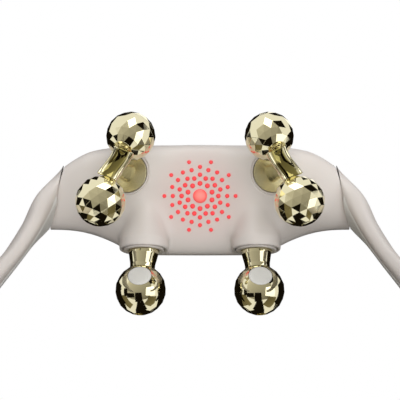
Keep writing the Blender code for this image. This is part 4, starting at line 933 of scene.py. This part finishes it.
def ball_mesh(name, radius, near_pole, far_pole, bore, smooth_side=None):
    """A ball of triangular facets with a bore at its near pole and a seat at its far pole.
    Facets that face the smooth side are laid on the sphere, as a plain polished area."""
    bm = bmesh.new()
    start, end = -math.acos(near_pole / radius), math.acos(far_pole / radius)
    rows = faceted_rows(radius, start, end, sizes().facet_bands, sizes().facets_round)
    made = {}

    def vert(point):
        key = tuple(round(c / (0.001 * MM)) for c in point)
        if key not in made:
            made[key] = bm.verts.new(point)
        return made[key]

    def on_sphere(corners, level):
        if level == 0:
            face = bm.faces.new([vert(c) for c in corners])
            face.smooth = True
            return
        a, b, c = corners
        ab, bc, ca = (((p + q) / 2).normalized() * radius for p, q in ((a, b), (b, c), (c, a)))
        for part in ((a, ab, ca), (ab, b, bc), (ca, bc, c), (ab, bc, ca)):
            on_sphere(part, level - 1)

    for corners in facet_triangles(rows):
        middle = sum(corners, Vector()).normalized()
        if smooth_side is not None and middle.dot(smooth_side) > SMOOTH_SIDE_COSINE:
            on_sphere(corners, 3)
        else:
            bm.faces.new([vert(c) for c in corners])
    for row, inner, depth in ((rows[0], bore, -1.0), (rows[-1], far_pole * CAP_SEAT_SHARE, 1.0)):
        rim = [vert(p) for p in row]
        level = row[0].z
        ring = [bm.verts.new((inner * p.x / reach, inner * p.y / reach, level))
                for p, reach in ((p, math.hypot(p.x, p.y)) for p in row)]
        deep = level - depth * 2.2 * MM
        floor = [bm.verts.new((v.co.x, v.co.y, deep)) for v in ring]
        span(bm, (rim, ring, floor))
        bm.faces.new(floor)
    bmesh.ops.recalc_face_normals(bm, faces=bm.faces)
    return mesh_from(bm, name)


def faceted(name, mesh, matrix):
    """Link a faceted ball with its edges just broken, so that they catch the light."""
    ball = link(name, mesh, plated_abs(), matrix, smooth=None)
    return soften(ball, sizes().facet_edge, 6.0, 1, False)


def oblong_ring(x_half, y_half, place):
    """A rounded oblong section in the XY plane of a place."""
    return [place @ Vector((x_half * c, y_half * s, 0.0)) for c, s in section(32, 3.0)]


def strap_ring(half, place):
    """Section of the strap: a hollow channel between two rolled edges, flat behind."""
    front, crest = [], 0.72
    for i in range(29):
        y = math.sin(math.pi / 2 * (i / 14 - 1))
        across = abs(y)
        if across < crest:
            height = (-0.15 + 2.35 * (across / crest) ** 2.6) * MM
        else:
            height = 2.2 * MM * math.sqrt(max(0.0, 1 - ((across - crest) / 0.28) ** 2))
        front.append(place @ Vector((height, half * y, 0.0)))
    back = [place @ Vector((-2.0 * MM, half * y, 0.0)) for y in (0.93, 0.5, 0.0, -0.5, -0.93)]
    return front + back


def ball_frames(side):
    """Name, centre and axle frame of each ball: Z runs from the arm into the ball."""
    frame_of_head = head_frame(side)
    for name, out, orbit, height, tilt in UPPER_BALLS:
        axle = (out * math.cos(tilt), 0.0, math.sin(tilt))
        yield name, frame_of_head @ frame_matrix((out * orbit, 0.0, height), axle, (0.0, 1.0, 0.0))


def strap_line(side, t):
    """Way along the row, sway and height of the strap's middle, from its high end to its low end."""
    return (STRAP_MIDDLE + STRAP_HALF_LENGTH * t, side * 2.0 * MM * np.sin(math.pi * t * 0.5),
            STRAP_HEIGHT + 0.6 * MM + 3.2 * MM * t * t - 0.4 * MM * t)


def channel_shade_of(co, side):
    """How much painted shade each point of the casting gets, by how deep it lies in the strap's channel.
    """
    local = place_in(head_frame(side), co)
    _, sway, height = strap_line(
        side, np.clip((local[:, 0] - STRAP_MIDDLE) / STRAP_HALF_LENGTH, -1.0, 1.0))
    across = 1 - ramp(np.abs(local[:, 1] - sway), 3.4 * MM, 5.0 * MM)
    return across * ramp(local[:, 2] - height, -1.6 * MM, -0.6 * MM)


def head_casting(label, side):
    """Column, dished S-shaped strap, axle collars and axles, blended into one casting."""
    place = head_frame(side)
    # Column sections in millimetres: half width along the row, half width across it, height
    column = link("casting_" + label, loft_mesh("casting", [
        oblong_ring(x * MM, y * MM, place @ Matrix.Translation((0, 0, z * MM)))
        for x, y, z in ((7.0, 5.7, -0.5), (6.4, 5.0, 8.0), (6.0, 4.6, 24.0), (6.2, 5.2, 38.0),
                        (6.6, 5.6, 45.0))]))
    rings = []
    for t in (i / 12 - 1 for i in range(25)):
        here = place @ frame_matrix(strap_line(side, t), (1.0, 0.0, 0.0), (0.0, 0.0, 1.0))
        rings.append(strap_ring((6.9 + 0.4 * t * t) * MM, here))
    join(column, link("strap_" + label, loft_mesh("strap", rings)))
    pole = pole_height(BALL_RADIUS, POLE_RADIUS)
    for name, ball in ball_frames(side):
        collar = [(r * MM, -pole - z * MM) for r, z in (
            (0.0, 0.3), (3.3, 0.3), (3.3, 1.2), (3.1, 2.2), (3.1, 4.2), (0.0, 4.2))]
        join(column, turned(f"collar_{label}_{name}", rounded(collar, 0.5 * MM), ball, None, 40),
             bar(f"axle_{label}_{name}", AXLE_RADIUS, -pole - 2.5 * MM, pole - 2.4 * MM, ball, 32))
    return voxel(column, CASTING_VOXEL)


class MASSAGER_OT_turntables(bpy.types.Operator):
    """White recess cups and plated turntables with their shafts"""
    bl_idname = "massager.turntables"
    bl_label = "Turntables"

    def execute(self, context):
        bore, sleeve, shaft = 5.2 * MM, 6.8 * MM, 3.0 * MM
        wall = CUP_RADIUS - 1.6 * MM
        floor = -CUP_DEPTH + 1.6 * MM
        end = -CUP_DEPTH - CUP_SLEEVE
        top, face, under = -0.35 * MM, -0.8 * MM, -3.2 * MM
        step, tail = floor + 0.3 * MM, -31.0 * MM
        rim = (CUP_RADIUS - 0.2 * MM, -1.4 * MM)
        cup = [rim, (CUP_RADIUS, -CUP_DEPTH), (sleeve, -CUP_DEPTH), (sleeve, end), (bore, end),
               (bore, floor), (wall, floor), (wall, top - 0.7 * MM), (wall + 0.5 * MM, top),
               (CUP_RADIUS - 0.7 * MM, top), rim]
        disc = rounded((
            (0.0, face), (DISC_RADIUS, face), (DISC_RADIUS, under), (bore, under), (bore, step),
            (shaft, step), (shaft, tail), (0.0, tail)), 0.55 * MM)
        for label, side in SIDES:
            place = head_frame(side)
            finish_piece(turned("recess_cup_" + label, cup, place, abs_shell(), 96),
                         "body", "turntable_cup_" + label)
            finish_piece(turned("plated_turntable_" + label, disc, place, satin_plated_abs(), 96),
                         "upper_head_" + label, "turntable_" + label)
        return {"FINISHED"}


class MASSAGER_OT_kneading_heads(bpy.types.Operator):
    """Plated castings and their faceted balls and caps"""
    bl_idname = "massager.kneading_heads"
    bl_label = "Kneading Heads"

    def execute(self, context):
        pole = pole_height(BALL_RADIUS, POLE_RADIUS)
        edge = POLE_RADIUS * CAP_SEAT_SHARE - 0.2 * MM
        crown = [(0.0, pole + 0.9 * MM)] + [
            (edge * math.sin(a), pole - 0.1 * MM + 1.0 * MM * math.cos(a))
            for a in (math.pi / 2 * k / 8 for k in range(1, 9))] + [
            (edge, pole - 1.9 * MM), (0.0, pole - 1.9 * MM)]
        for label, side in SIDES:
            name = "kneading_arm_" + label
            mesh = settled(head_casting(label, side), name)
            relax(mesh, 7, 0.5)
            # Painted shade darkens the plating's colour in the strap's channel
            hold(mesh, "thin_plating", channel_shade_of(points_of(mesh), side))
            finish_piece(link(name, mesh, plated_abs(), smooth=math.pi),
                         "upper_head_" + label, "head_arm_" + label)
            for level, place in ball_frames(side):
                end = f"{label}_{level}"
                mesh = ball_mesh(level, BALL_RADIUS - FACET_LAP, POLE_RADIUS, POLE_RADIUS,
                                 AXLE_RADIUS + 0.4 * MM)
                finish_piece(faceted("faceted_ball_" + end, mesh, place),
                             "upper_ball_" + end, "ball_" + end)
                finish_piece(turned("pole_cap_" + end, crown, place, plated_abs(), 64),
                             "upper_ball_" + end, "ball_cap_" + end)
        return {"FINISHED"}


class MASSAGER_OT_lower_heads(bpy.types.Operator):
    """Collar rings, plated necks, lower balls and their pale contact pads"""
    bl_idname = "massager.lower_heads"
    bl_label = "Lower Heads"

    def execute(self, context):
        bore, outer, seat = NECK_TOP + 0.6 * MM, 14.6 * MM, NECK_END + 0.3 * MM
        ring = rounded(((bore, -3.2 * MM), (bore, 0.8 * MM), (outer, 0.8 * MM), (outer, -3.4 * MM),
                        (bore, -3.4 * MM)), 0.7 * MM)
        ring.append(ring[0])
        end = LOWER_REACH - pole_height(LOWER_BALL_RADIUS, seat) - 0.3 * MM
        flange, shaft, tail = 13.2 * MM, 3.2 * MM, -28.5 * MM
        neck = rounded((
            (0.0, end), (NECK_END, end), (NECK_END + 0.15 * MM, end - 3.0 * MM),
            (NECK_TOP - 0.3 * MM, 3.0 * MM), (NECK_TOP, -3.5 * MM), (flange, -3.8 * MM),
            (flange, -4.6 * MM), (shaft, -4.6 * MM), (shaft, tail), (0.0, tail)), 0.4 * MM)
        out = pole_height(LOWER_BALL_RADIUS, CONTACT_RADIUS)
        pad = rounded((
            (0.0, out + 0.25 * MM), (CONTACT_RADIUS - 1.2 * MM, out + 0.2 * MM),
            (CONTACT_RADIUS, out - 0.25 * MM), (CONTACT_RADIUS, out - 2.2 * MM), (0.0, out - 2.2 * MM)),
            0.5 * MM)
        for label, side in SIDES:
            body = "lower_head_" + label
            place, leaning = lower_frame(side), lower_frame(side, LOWER_LEAN)
            finish_piece(turned("collar_" + label, ring, place, abs_shell(), 96),
                         body, "collar_ring_" + label)
            finish_piece(turned("plated_neck_" + label, neck, leaning, plated_abs(), 96),
                         body, "lower_neck_" + label)
            centre = leaning @ Matrix.Translation((0.0, 0.0, LOWER_REACH))
            toward = (0.0, -math.cos(CONTACT_TILT), math.sin(CONTACT_TILT))
            pad_place = frame_matrix(centre.translation, toward, (side, 0.0, 0.0))
            front = (centre.inverted().to_3x3() @ Vector((0.0, -1.0, 0.10))).normalized()
            mesh = ball_mesh("lower", LOWER_BALL_RADIUS, seat, NECK_END / 2, 4.5 * MM, front)
            ball = faceted("lower_faceted_ball_" + label, mesh, centre)
            cut(ball, bar("pad_seat_" + label, CONTACT_RADIUS + 0.18 * MM, out - 2.45 * MM, 24.0 * MM,
                          pad_place, 34))
            finish_piece(ball, body, "lower_ball_" + label)
            finish_piece(turned("contact_" + label, pad, pad_place, pale_abs(), 72),
                         body, "contact_pad_" + label)
        return {"FINISHED"}


# Shoulder arms

def catmull(values, t):
    """A smooth curve through a row of values, read at a station number."""
    i = max(0, min(int(t), len(values) - 2))
    f = t - i
    before, here, after = values[max(i - 1, 0)], values[i], values[i + 1]
    later = values[min(i + 2, len(values) - 1)]
    return (here * 2 + (after - before) * f + (before * 2 - here * 5 + after * 4 - later) * f * f
            + (here * 3 - before - after * 3 + later) * f * f * f) / 2


def arm_keys():
    """Centre, up, inward, width, thickness and direction of the right arm at its stations."""
    top, bottom, depth = body_sizes(1.0)
    middle = (top + bottom) / 2
    points = [Vector((BODY_HALF_WIDTH - SEAM_SLANT * middle, depth / 2, middle))]
    points += [Vector(row) for row in ARM_PATH]
    widths = [(top - bottom) * math.hypot(1.0, SEAM_SLANT), *ARM_WIDTHS]
    thicks = [depth, *ARM_THICKS]
    keys = []
    for i, point in enumerate(points):
        along = Vector((1.0, 0.0, 0.0))
        if i:
            along = (points[min(i + 1, len(points) - 1)] - points[i - 1]).normalized()
        up = Vector((-ARM_LEANS[i], 0.0, 1.0))
        up = (up - along * up.dot(along) * ARM_SQUARE_SHARES[i]).normalized()
        keys.append((point, up, along.cross(up).normalized(), widths[i], thicks[i], along))
    return keys


def arm_skin(key, power, slant):
    """Outer section of the arm. The first one is cut back along the seam."""
    point, up, inward, width, thick, along = key
    return [point + up * (width / 2 * c) + inward * (thick / 2 * s)
            + along * (slant * (0.8 * MM + 2.6 * MM * (1 - s) / 2)) for c, s in section(56, power)]


def arm_layer(key, power, trim, out, back):
    """Section of a layer on the arm's inner face, thinner towards its rounded edges."""
    point, up, inward, width, thick, _ = key
    half = width / 2 - trim
    outer, inner = [], []
    for i in range(25):
        across = half * math.sin(math.pi / 2 * (i / 12 - 1))
        share = min(abs(across) / (width / 2), 1.0)
        face = thick / 2 * (1 - share ** power) ** (1 / power)
        edge = (1 - (abs(across) / half) ** 8) ** 0.5 if out < 1.0 * MM else 1.0
        outer.append((across, face - 0.25 * MM * (1 - edge) + out * edge))
        inner.append((across, face - back))
    return [point + up * a + inward * h for a, h in outer + inner[::-1]]


def arm_rings(side, sections, stations):
    """Sections at station numbers between the given ones."""
    rings = []
    for t in stations:
        ring = [catmull([section[j] for section in sections], t) for j in range(len(sections[0]))]
        rings.append([Vector((side * spot.x, spot.y, spot.z)) for spot in ring])
    return rings


def arm_outside(share):
    """Place on the right arm's outer face at a share of its length: Z out, X along the arm."""
    keys = arm_keys()
    t = share * (len(keys) - 1)
    step = 0.02
    centres = [key[0] for key in keys]
    along = catmull(centres, t + step) - catmull(centres, t - step)
    point, inward, thick = (catmull([key[i] for key in keys], t) for i in (0, 2, 4))
    inward.normalize()
    return frame_matrix(point - inward * (thick / 2), -inward, along)


def arm_stations():
    """Each station of the arm with the roundness of its section, taken over from the body at the seam."""
    return [(key, ARM_ROUNDNESS if i else END_ROUNDNESS) for i, key in enumerate(arm_keys())]


def arm_solid(name, side):
    """The arm's whole outer form with its round tip."""
    keys = arm_stations()
    sections = [arm_skin(key, power, 0.0 if i else 1.0) for i, (key, power) in enumerate(keys)]
    rings = arm_rings(side, sections, np.linspace(0.0, len(keys) - 1, 91))
    end = rings[-1]
    centre = sum(end, Vector()) / len(end)
    along = keys[-1][0][5]
    along = Vector((side * along.x, along.y, along.z))
    for turn in (math.pi / 2 * i / ARM_TIP for i in range(1, 9)):
        rings.append([centre + (spot - centre) * math.cos(turn) + along * (ARM_TIP * MM * math.sin(turn))
                      for spot in end])
    return link(name, loft_mesh(name, rings), abs_shell())


def arm_panel(name, side, trim, out, back, extra, material=None):
    """The liner or its pocket as one loft along the arm."""
    keys = arm_stations()
    first, last = (share * (len(keys) - 1) for share in PAD_SPAN_SHARES)
    sections = [arm_layer(key, power, trim, out, back) for key, power in keys]
    rings = arm_rings(side, sections, np.linspace(first, last, 61))
    for ring, inner in ((rings[0], rings[1]), (rings[-1], rings[-2])):
        for spot, near in zip(ring, inner):
            spot += (spot - near).normalized() * extra
    return link(name, loft_mesh(name, rings), material)


class MASSAGER_OT_shoulder_arms(bpy.types.Operator):
    """Arm shells with hinge knuckles and the silicone liners on their inner faces"""
    bl_idname = "massager.shoulder_arms"
    bl_label = "Shoulder Arms"

    def execute(self, context):
        for label, side in SIDES:
            hinge = frame_matrix((side * HINGE.x, HINGE.y, HINGE.z), (-side * SEAM_SLANT, 0.0, 1.0),
                                 (side, 0.0, 0.0))
            arm = arm_solid("shoulder_arm_" + label, side)
            join(arm, bar("knuckle_" + label, KNUCKLE_RADIUS, -14.0 * MM, 14.0 * MM, hinge, 48),
                 block("tongue_" + label, mm(15.0, 11.0, 26.0), (7.5 * MM, 0.0, 0.0), hinge))
            cut(arm, bar("pin_bore_" + label, PIN_BORE_RADIUS, -30.0 * MM, 30.0 * MM, hinge, 32),
                arm_panel("pocket_" + label, side, *mm(4.3, 2.0, 1.8, 0.3)))
            if side > 0:
                hole = KEY_RADIUS + 0.25 * MM
                cut(arm, *(bar(name + "_hole", hole, -7.0 * MM, 2.0 * MM, arm_outside(share), 48)
                           for name, share, _ in BUTTONS))
            soften(arm, sizes().edge_round)
            finish_piece(arm, "arm_" + label, "arm_shell_" + label)
            liner = arm_panel("arm_liner_" + label, side, *mm(4.6, 0.5, 1.5, 0.0), silicone_liner())
            soften(liner, 0.3 * MM)
            finish_piece(liner, "arm_" + label, "arm_pad_" + label)
        return {"FINISHED"}


class MASSAGER_OT_buttons(bpy.types.Operator):
    """Three round keys with raised pips on the right arm"""
    bl_idname = "massager.buttons"
    bl_label = "Buttons"

    def execute(self, context):
        top, under, stem, end = KEY_HEIGHT, -2.5 * MM, 1.7 * MM, -4.6 * MM
        flange = (KEY_RADIUS + 1.0 * MM, under - 0.8 * MM)
        cap = rounded((
            (0.0, top - 0.35 * MM), (3.2 * MM, top), (KEY_RADIUS, top - 0.25 * MM), (KEY_RADIUS, under),
            (flange[0], under), flange, (stem, flange[1]), (stem, end), (0.0, end)), 0.35 * MM)
        for name, share, pips in BUTTONS:
            place = arm_outside(share)
            key = turned(name + "_key", cap, place, pale_abs(), 56)
            for i in range(pips):
                pip = place @ Matrix.Translation(((i - (pips - 1) / 2) * 1.5 * MM, 0, 0))
                join(key, bar(f"{name}_pip_{i}", 0.45 * MM, -1.0 * MM, top, pip, 20))
            finish_piece(key, name.replace("_button", "_key"), name)
        return {"FINISHED"}


class MASSAGER_OT_inner_works(bpy.types.Operator):
    """Finishes of the motors, gears, boards, battery, screws and inlet"""
    bl_idname = "massager.inner_works"
    bl_label = "Inner Works"

    def execute(self, context):
        finishes = {
            "motor_steel": drawn_steel, "bush_bronze": sintered_bronze, "gear_nylon": gear_nylon,
            "circuit_board": solder_mask, "cradle_plastic": dark_nylon, "battery_wrap": shrink_wrap,
            "warm_white_shell": abs_shell, "gold_plate": plated_abs, "pale_contact_pad": pale_abs,
        }
        slots = {row["node"]: row["material_slot"] for row in frame["record"]["subparts"]}
        for name, node in frame["nodes"].items():
            if not node.hide_render:
                node.data.materials.clear()
                node.data.materials.append(finishes[slots[name]]())
        return {"FINISHED"}


# Studio

def faced(thing, place, look_at, front):
    """Put a card or lamp in its place with its front towards a point."""
    turn = (Vector(look_at) - Vector(place)).to_track_quat(front, "Y")
    thing.matrix_world = Matrix.Translation(place) @ turn.to_matrix().to_4x4()


def flat_card(name, size, place, look_at, material):
    """A flat studio card that faces a point."""
    bm = bmesh.new()
    bmesh.ops.create_grid(bm, x_segments=1, y_segments=1, size=0.5,
                          matrix=Matrix.Diagonal((*size, 1.0, 1.0)))
    thing = link(name, mesh_from(bm, name), material, smooth=None)
    faced(thing, place, look_at, "Z")
    return thing


def card(name, size, place, low, high):
    """A card that only the plating reflects. Its tone runs from its lower left to its upper right."""
    material, tree, _ = new_material("studio_card_" + name)
    tree.nodes.clear()
    place_on_card = add_node(tree, "ShaderNodeTexCoord")
    share = add_node(tree, "ShaderNodeVectorMath", {
        0: place_on_card.outputs["Generated"], 1: (0.5, 0.5, 0.0)}, operation="DOT_PRODUCT")
    tone = add_node(tree, "ShaderNodeMix", {
        "Factor": share.outputs["Value"], 6: (*low, 1.0), 7: (*high, 1.0)}, data_type="RGBA")
    glow = add_node(tree, "ShaderNodeEmission", {"Color": tone.outputs[2]})
    add_node(tree, "ShaderNodeOutputMaterial", {"Surface": glow.outputs[0]})
    thing = flat_card(name, size, place, (0.0, 0.0, 0.0), material)
    thing.visible_camera = thing.visible_shadow = thing.visible_diffuse = False


def studio_floor():
    """A pale floor with little bounce onto the object. In the plating, the low cards stand in for it."""
    material, tree, shader = new_material("studio_floor_pale")
    path = add_node(tree, "ShaderNodeLightPath")
    pale, bounce = linear("E4E3E0"), linear("6B6965")
    tone = add_node(tree, "ShaderNodeMix", {
        "Factor": path.outputs["Is Diffuse Ray"], 6: (*pale, 1.0), 7: (*bounce, 1.0)}, data_type="RGBA")
    tree.links.new(tone.outputs[2], shader.inputs["Base Color"])
    shader.inputs["Roughness"].default_value = 1.0
    shader.inputs["Specular IOR Level"].default_value = 0.0
    floor = flat_card("studio_floor", (2.6, 1.68), (0.0, -0.16, -0.34), (0.0, -0.16, 1.0), material)
    floor.visible_glossy = False


def lamp(name, size, place, energy, glossy=True):
    """A soft square lamp that faces the middle of the light field."""
    data = bpy.data.lights.new(name, "AREA")
    data.shape = "RECTANGLE"
    data.size, data.size_y = size
    data.energy = energy
    thing = bpy.data.objects.new(name, data)
    bpy.context.scene.collection.objects.link(thing)
    faced(thing, place, (0.0, 0.0, 0.0), "-Z")
    thing.visible_glossy = glossy


def white_world():
    """A world that is white to the camera, to mirrors and through glass, and dimmer as a light."""
    world = bpy.data.worlds.new("white_studio")
    world.use_nodes = True
    tree = world.node_tree
    tree.nodes.clear()
    path = add_node(tree, "ShaderNodeLightPath")
    seen = path.outputs["Is Camera Ray"]
    for ray in ("Is Glossy Ray", "Is Transmission Ray"):
        either = add_node(tree, "ShaderNodeMath", {0: seen, 1: path.outputs[ray]}, operation="MAXIMUM")
        seen = either.outputs[0]
    soft = add_node(tree, "ShaderNodeBackground", {"Color": (1.0, 0.99, 0.97, 1.0), "Strength": 0.36})
    white = add_node(tree, "ShaderNodeBackground", {"Color": (1.0, 1.0, 1.0, 1.0), "Strength": 1.0})
    mix = add_node(tree, "ShaderNodeMixShader", {0: seen, 1: soft.outputs[0], 2: white.outputs[0]})
    add_node(tree, "ShaderNodeOutputWorld", {"Surface": mix.outputs[0]})
    return world


class MASSAGER_OT_studio(bpy.types.Operator):
    """White studio, pale floor, soft lamps, dark cards for the plating and the camera"""
    bl_idname = "massager.studio"
    bl_label = "Studio"

    def execute(self, context):
        scene = context.scene
        scene.view_settings.view_transform = "Standard"
        scene.world = white_world()
        studio_floor()
        black, dim, brown = linear("15110A"), linear("867D5E"), linear("5E563A")
        # Each card: name, width and height, place, tone at its lower left, tone at its upper right
        for row in (
                ("wall", (4.6, 3.8), (-0.1, -1.5, 0.3), linear("4A4636"), linear("E6E2D6")),
                ("flag_behind", (2.6, 2.6), (0.0, 1.0, 0.0), black, black),
                ("flag_left", (0.36, 0.50), (-1.0, -0.42, -0.17), black, black),
                ("flag_left_behind", (1.0, 1.2), (-1.0, 0.50, -0.35), black, black),
                ("flag_right", (0.9, 1.2), (1.05, 0.42, -0.30), black, black),
                ("flag_high_right", (0.75, 0.70), (0.76, -0.25, 0.78), black, black),
                ("flag_low", (0.72, 1.05), (-0.16, -1.18, -0.66), black, black),
                ("flag_low_left", (1.0, 0.50), (-1.05, -1.05, -0.52), black, black),
                ("low_right", (1.0, 1.0), (0.85, -0.45, -0.95), dim, brown),
                ("low_left", (1.0, 1.2), (-1.15, -0.10, -0.95), dim, brown),
                ("low_middle", (0.60, 2.4), (0.0, 0.0, -1.10), black, black),
                ("white_box", (0.95, 0.62), (0.84, -0.76, -0.14), (1.6, 1.6, 1.6), (1.8, 1.8, 1.8))):
            card(*row)
        # Each lamp: name, width and height, place, watts, seen in the plating or not
        lamp("key_lamp", (0.9, 0.8), (0.95, -0.90, -0.05), 4.6)
        lamp("high_lamp", (1.0, 0.6), (0.0, -0.45, 1.10), 4.0)
        lamp("fill_lamp", (0.8, 0.8), (0.10, -1.30, 0.20), 8.2, False)
        lamp("back_lamp", (0.8, 0.6), (0.2, 1.0, 0.5), 2.0)

        camera = bpy.data.cameras.new("camera")
        camera.sensor_width = SENSOR_WIDTH
        camera.lens = SENSOR_WIDTH * FOCAL_PIXELS / PICTURE_PIXELS
        camera.shift_y = SHIFT_PIXELS / PICTURE_PIXELS
        camera.clip_start, camera.clip_end = 0.05, 20.0
        eye = bpy.data.objects.new("camera", camera)
        upturned = Matrix.Rotation(math.pi / 2, 4, "X")
        eye.matrix_world = Matrix.Translation((0.0, -EYE_DISTANCE, 0.0)) @ upturned
        scene.collection.objects.link(eye)
        scene.camera = eye
        return {"FINISHED"}


OPERATORS = (
    MASSAGER_OT_front_shell, MASSAGER_OT_back_shell, MASSAGER_OT_light_field, MASSAGER_OT_turntables,
    MASSAGER_OT_kneading_heads, MASSAGER_OT_lower_heads, MASSAGER_OT_shoulder_arms, MASSAGER_OT_buttons,
    MASSAGER_OT_inner_works, MASSAGER_OT_studio,
)


class MASSAGER_PT_panel(bpy.types.Panel):
    """Buttons for each group of pieces and the settings"""
    bl_label = "Massager"
    bl_idname = "MASSAGER_PT_panel"
    bl_space_type = "VIEW_3D"
    bl_region_type = "UI"
    bl_category = "Massager"

    def draw(self, context):
        for operator in OPERATORS:
            self.layout.operator(operator.bl_idname)
        for group in (context.scene.massager_sizes, context.scene.massager_colours):
            for key in group.__annotations__:
                self.layout.prop(group, key)


CLASSES = (MassagerSizes, MassagerColours, *OPERATORS, MASSAGER_PT_panel)


def register():
    """Register the classes and the settings."""
    for kind in CLASSES:
        bpy.utils.register_class(kind)
    bpy.types.Scene.massager_sizes = bpy.props.PointerProperty(type=MassagerSizes)
    bpy.types.Scene.massager_colours = bpy.props.PointerProperty(type=MassagerColours)


def unregister():
    """Remove the settings and the classes."""
    del bpy.types.Scene.massager_colours
    del bpy.types.Scene.massager_sizes
    for kind in reversed(CLASSES):
        bpy.utils.unregister_class(kind)


def main():
    """Make every piece in order."""
    register()
    for operator in OPERATORS:
        getattr(bpy.ops.massager, operator.bl_idname.split(".")[1])()


if __name__ == "__main__":
    main()
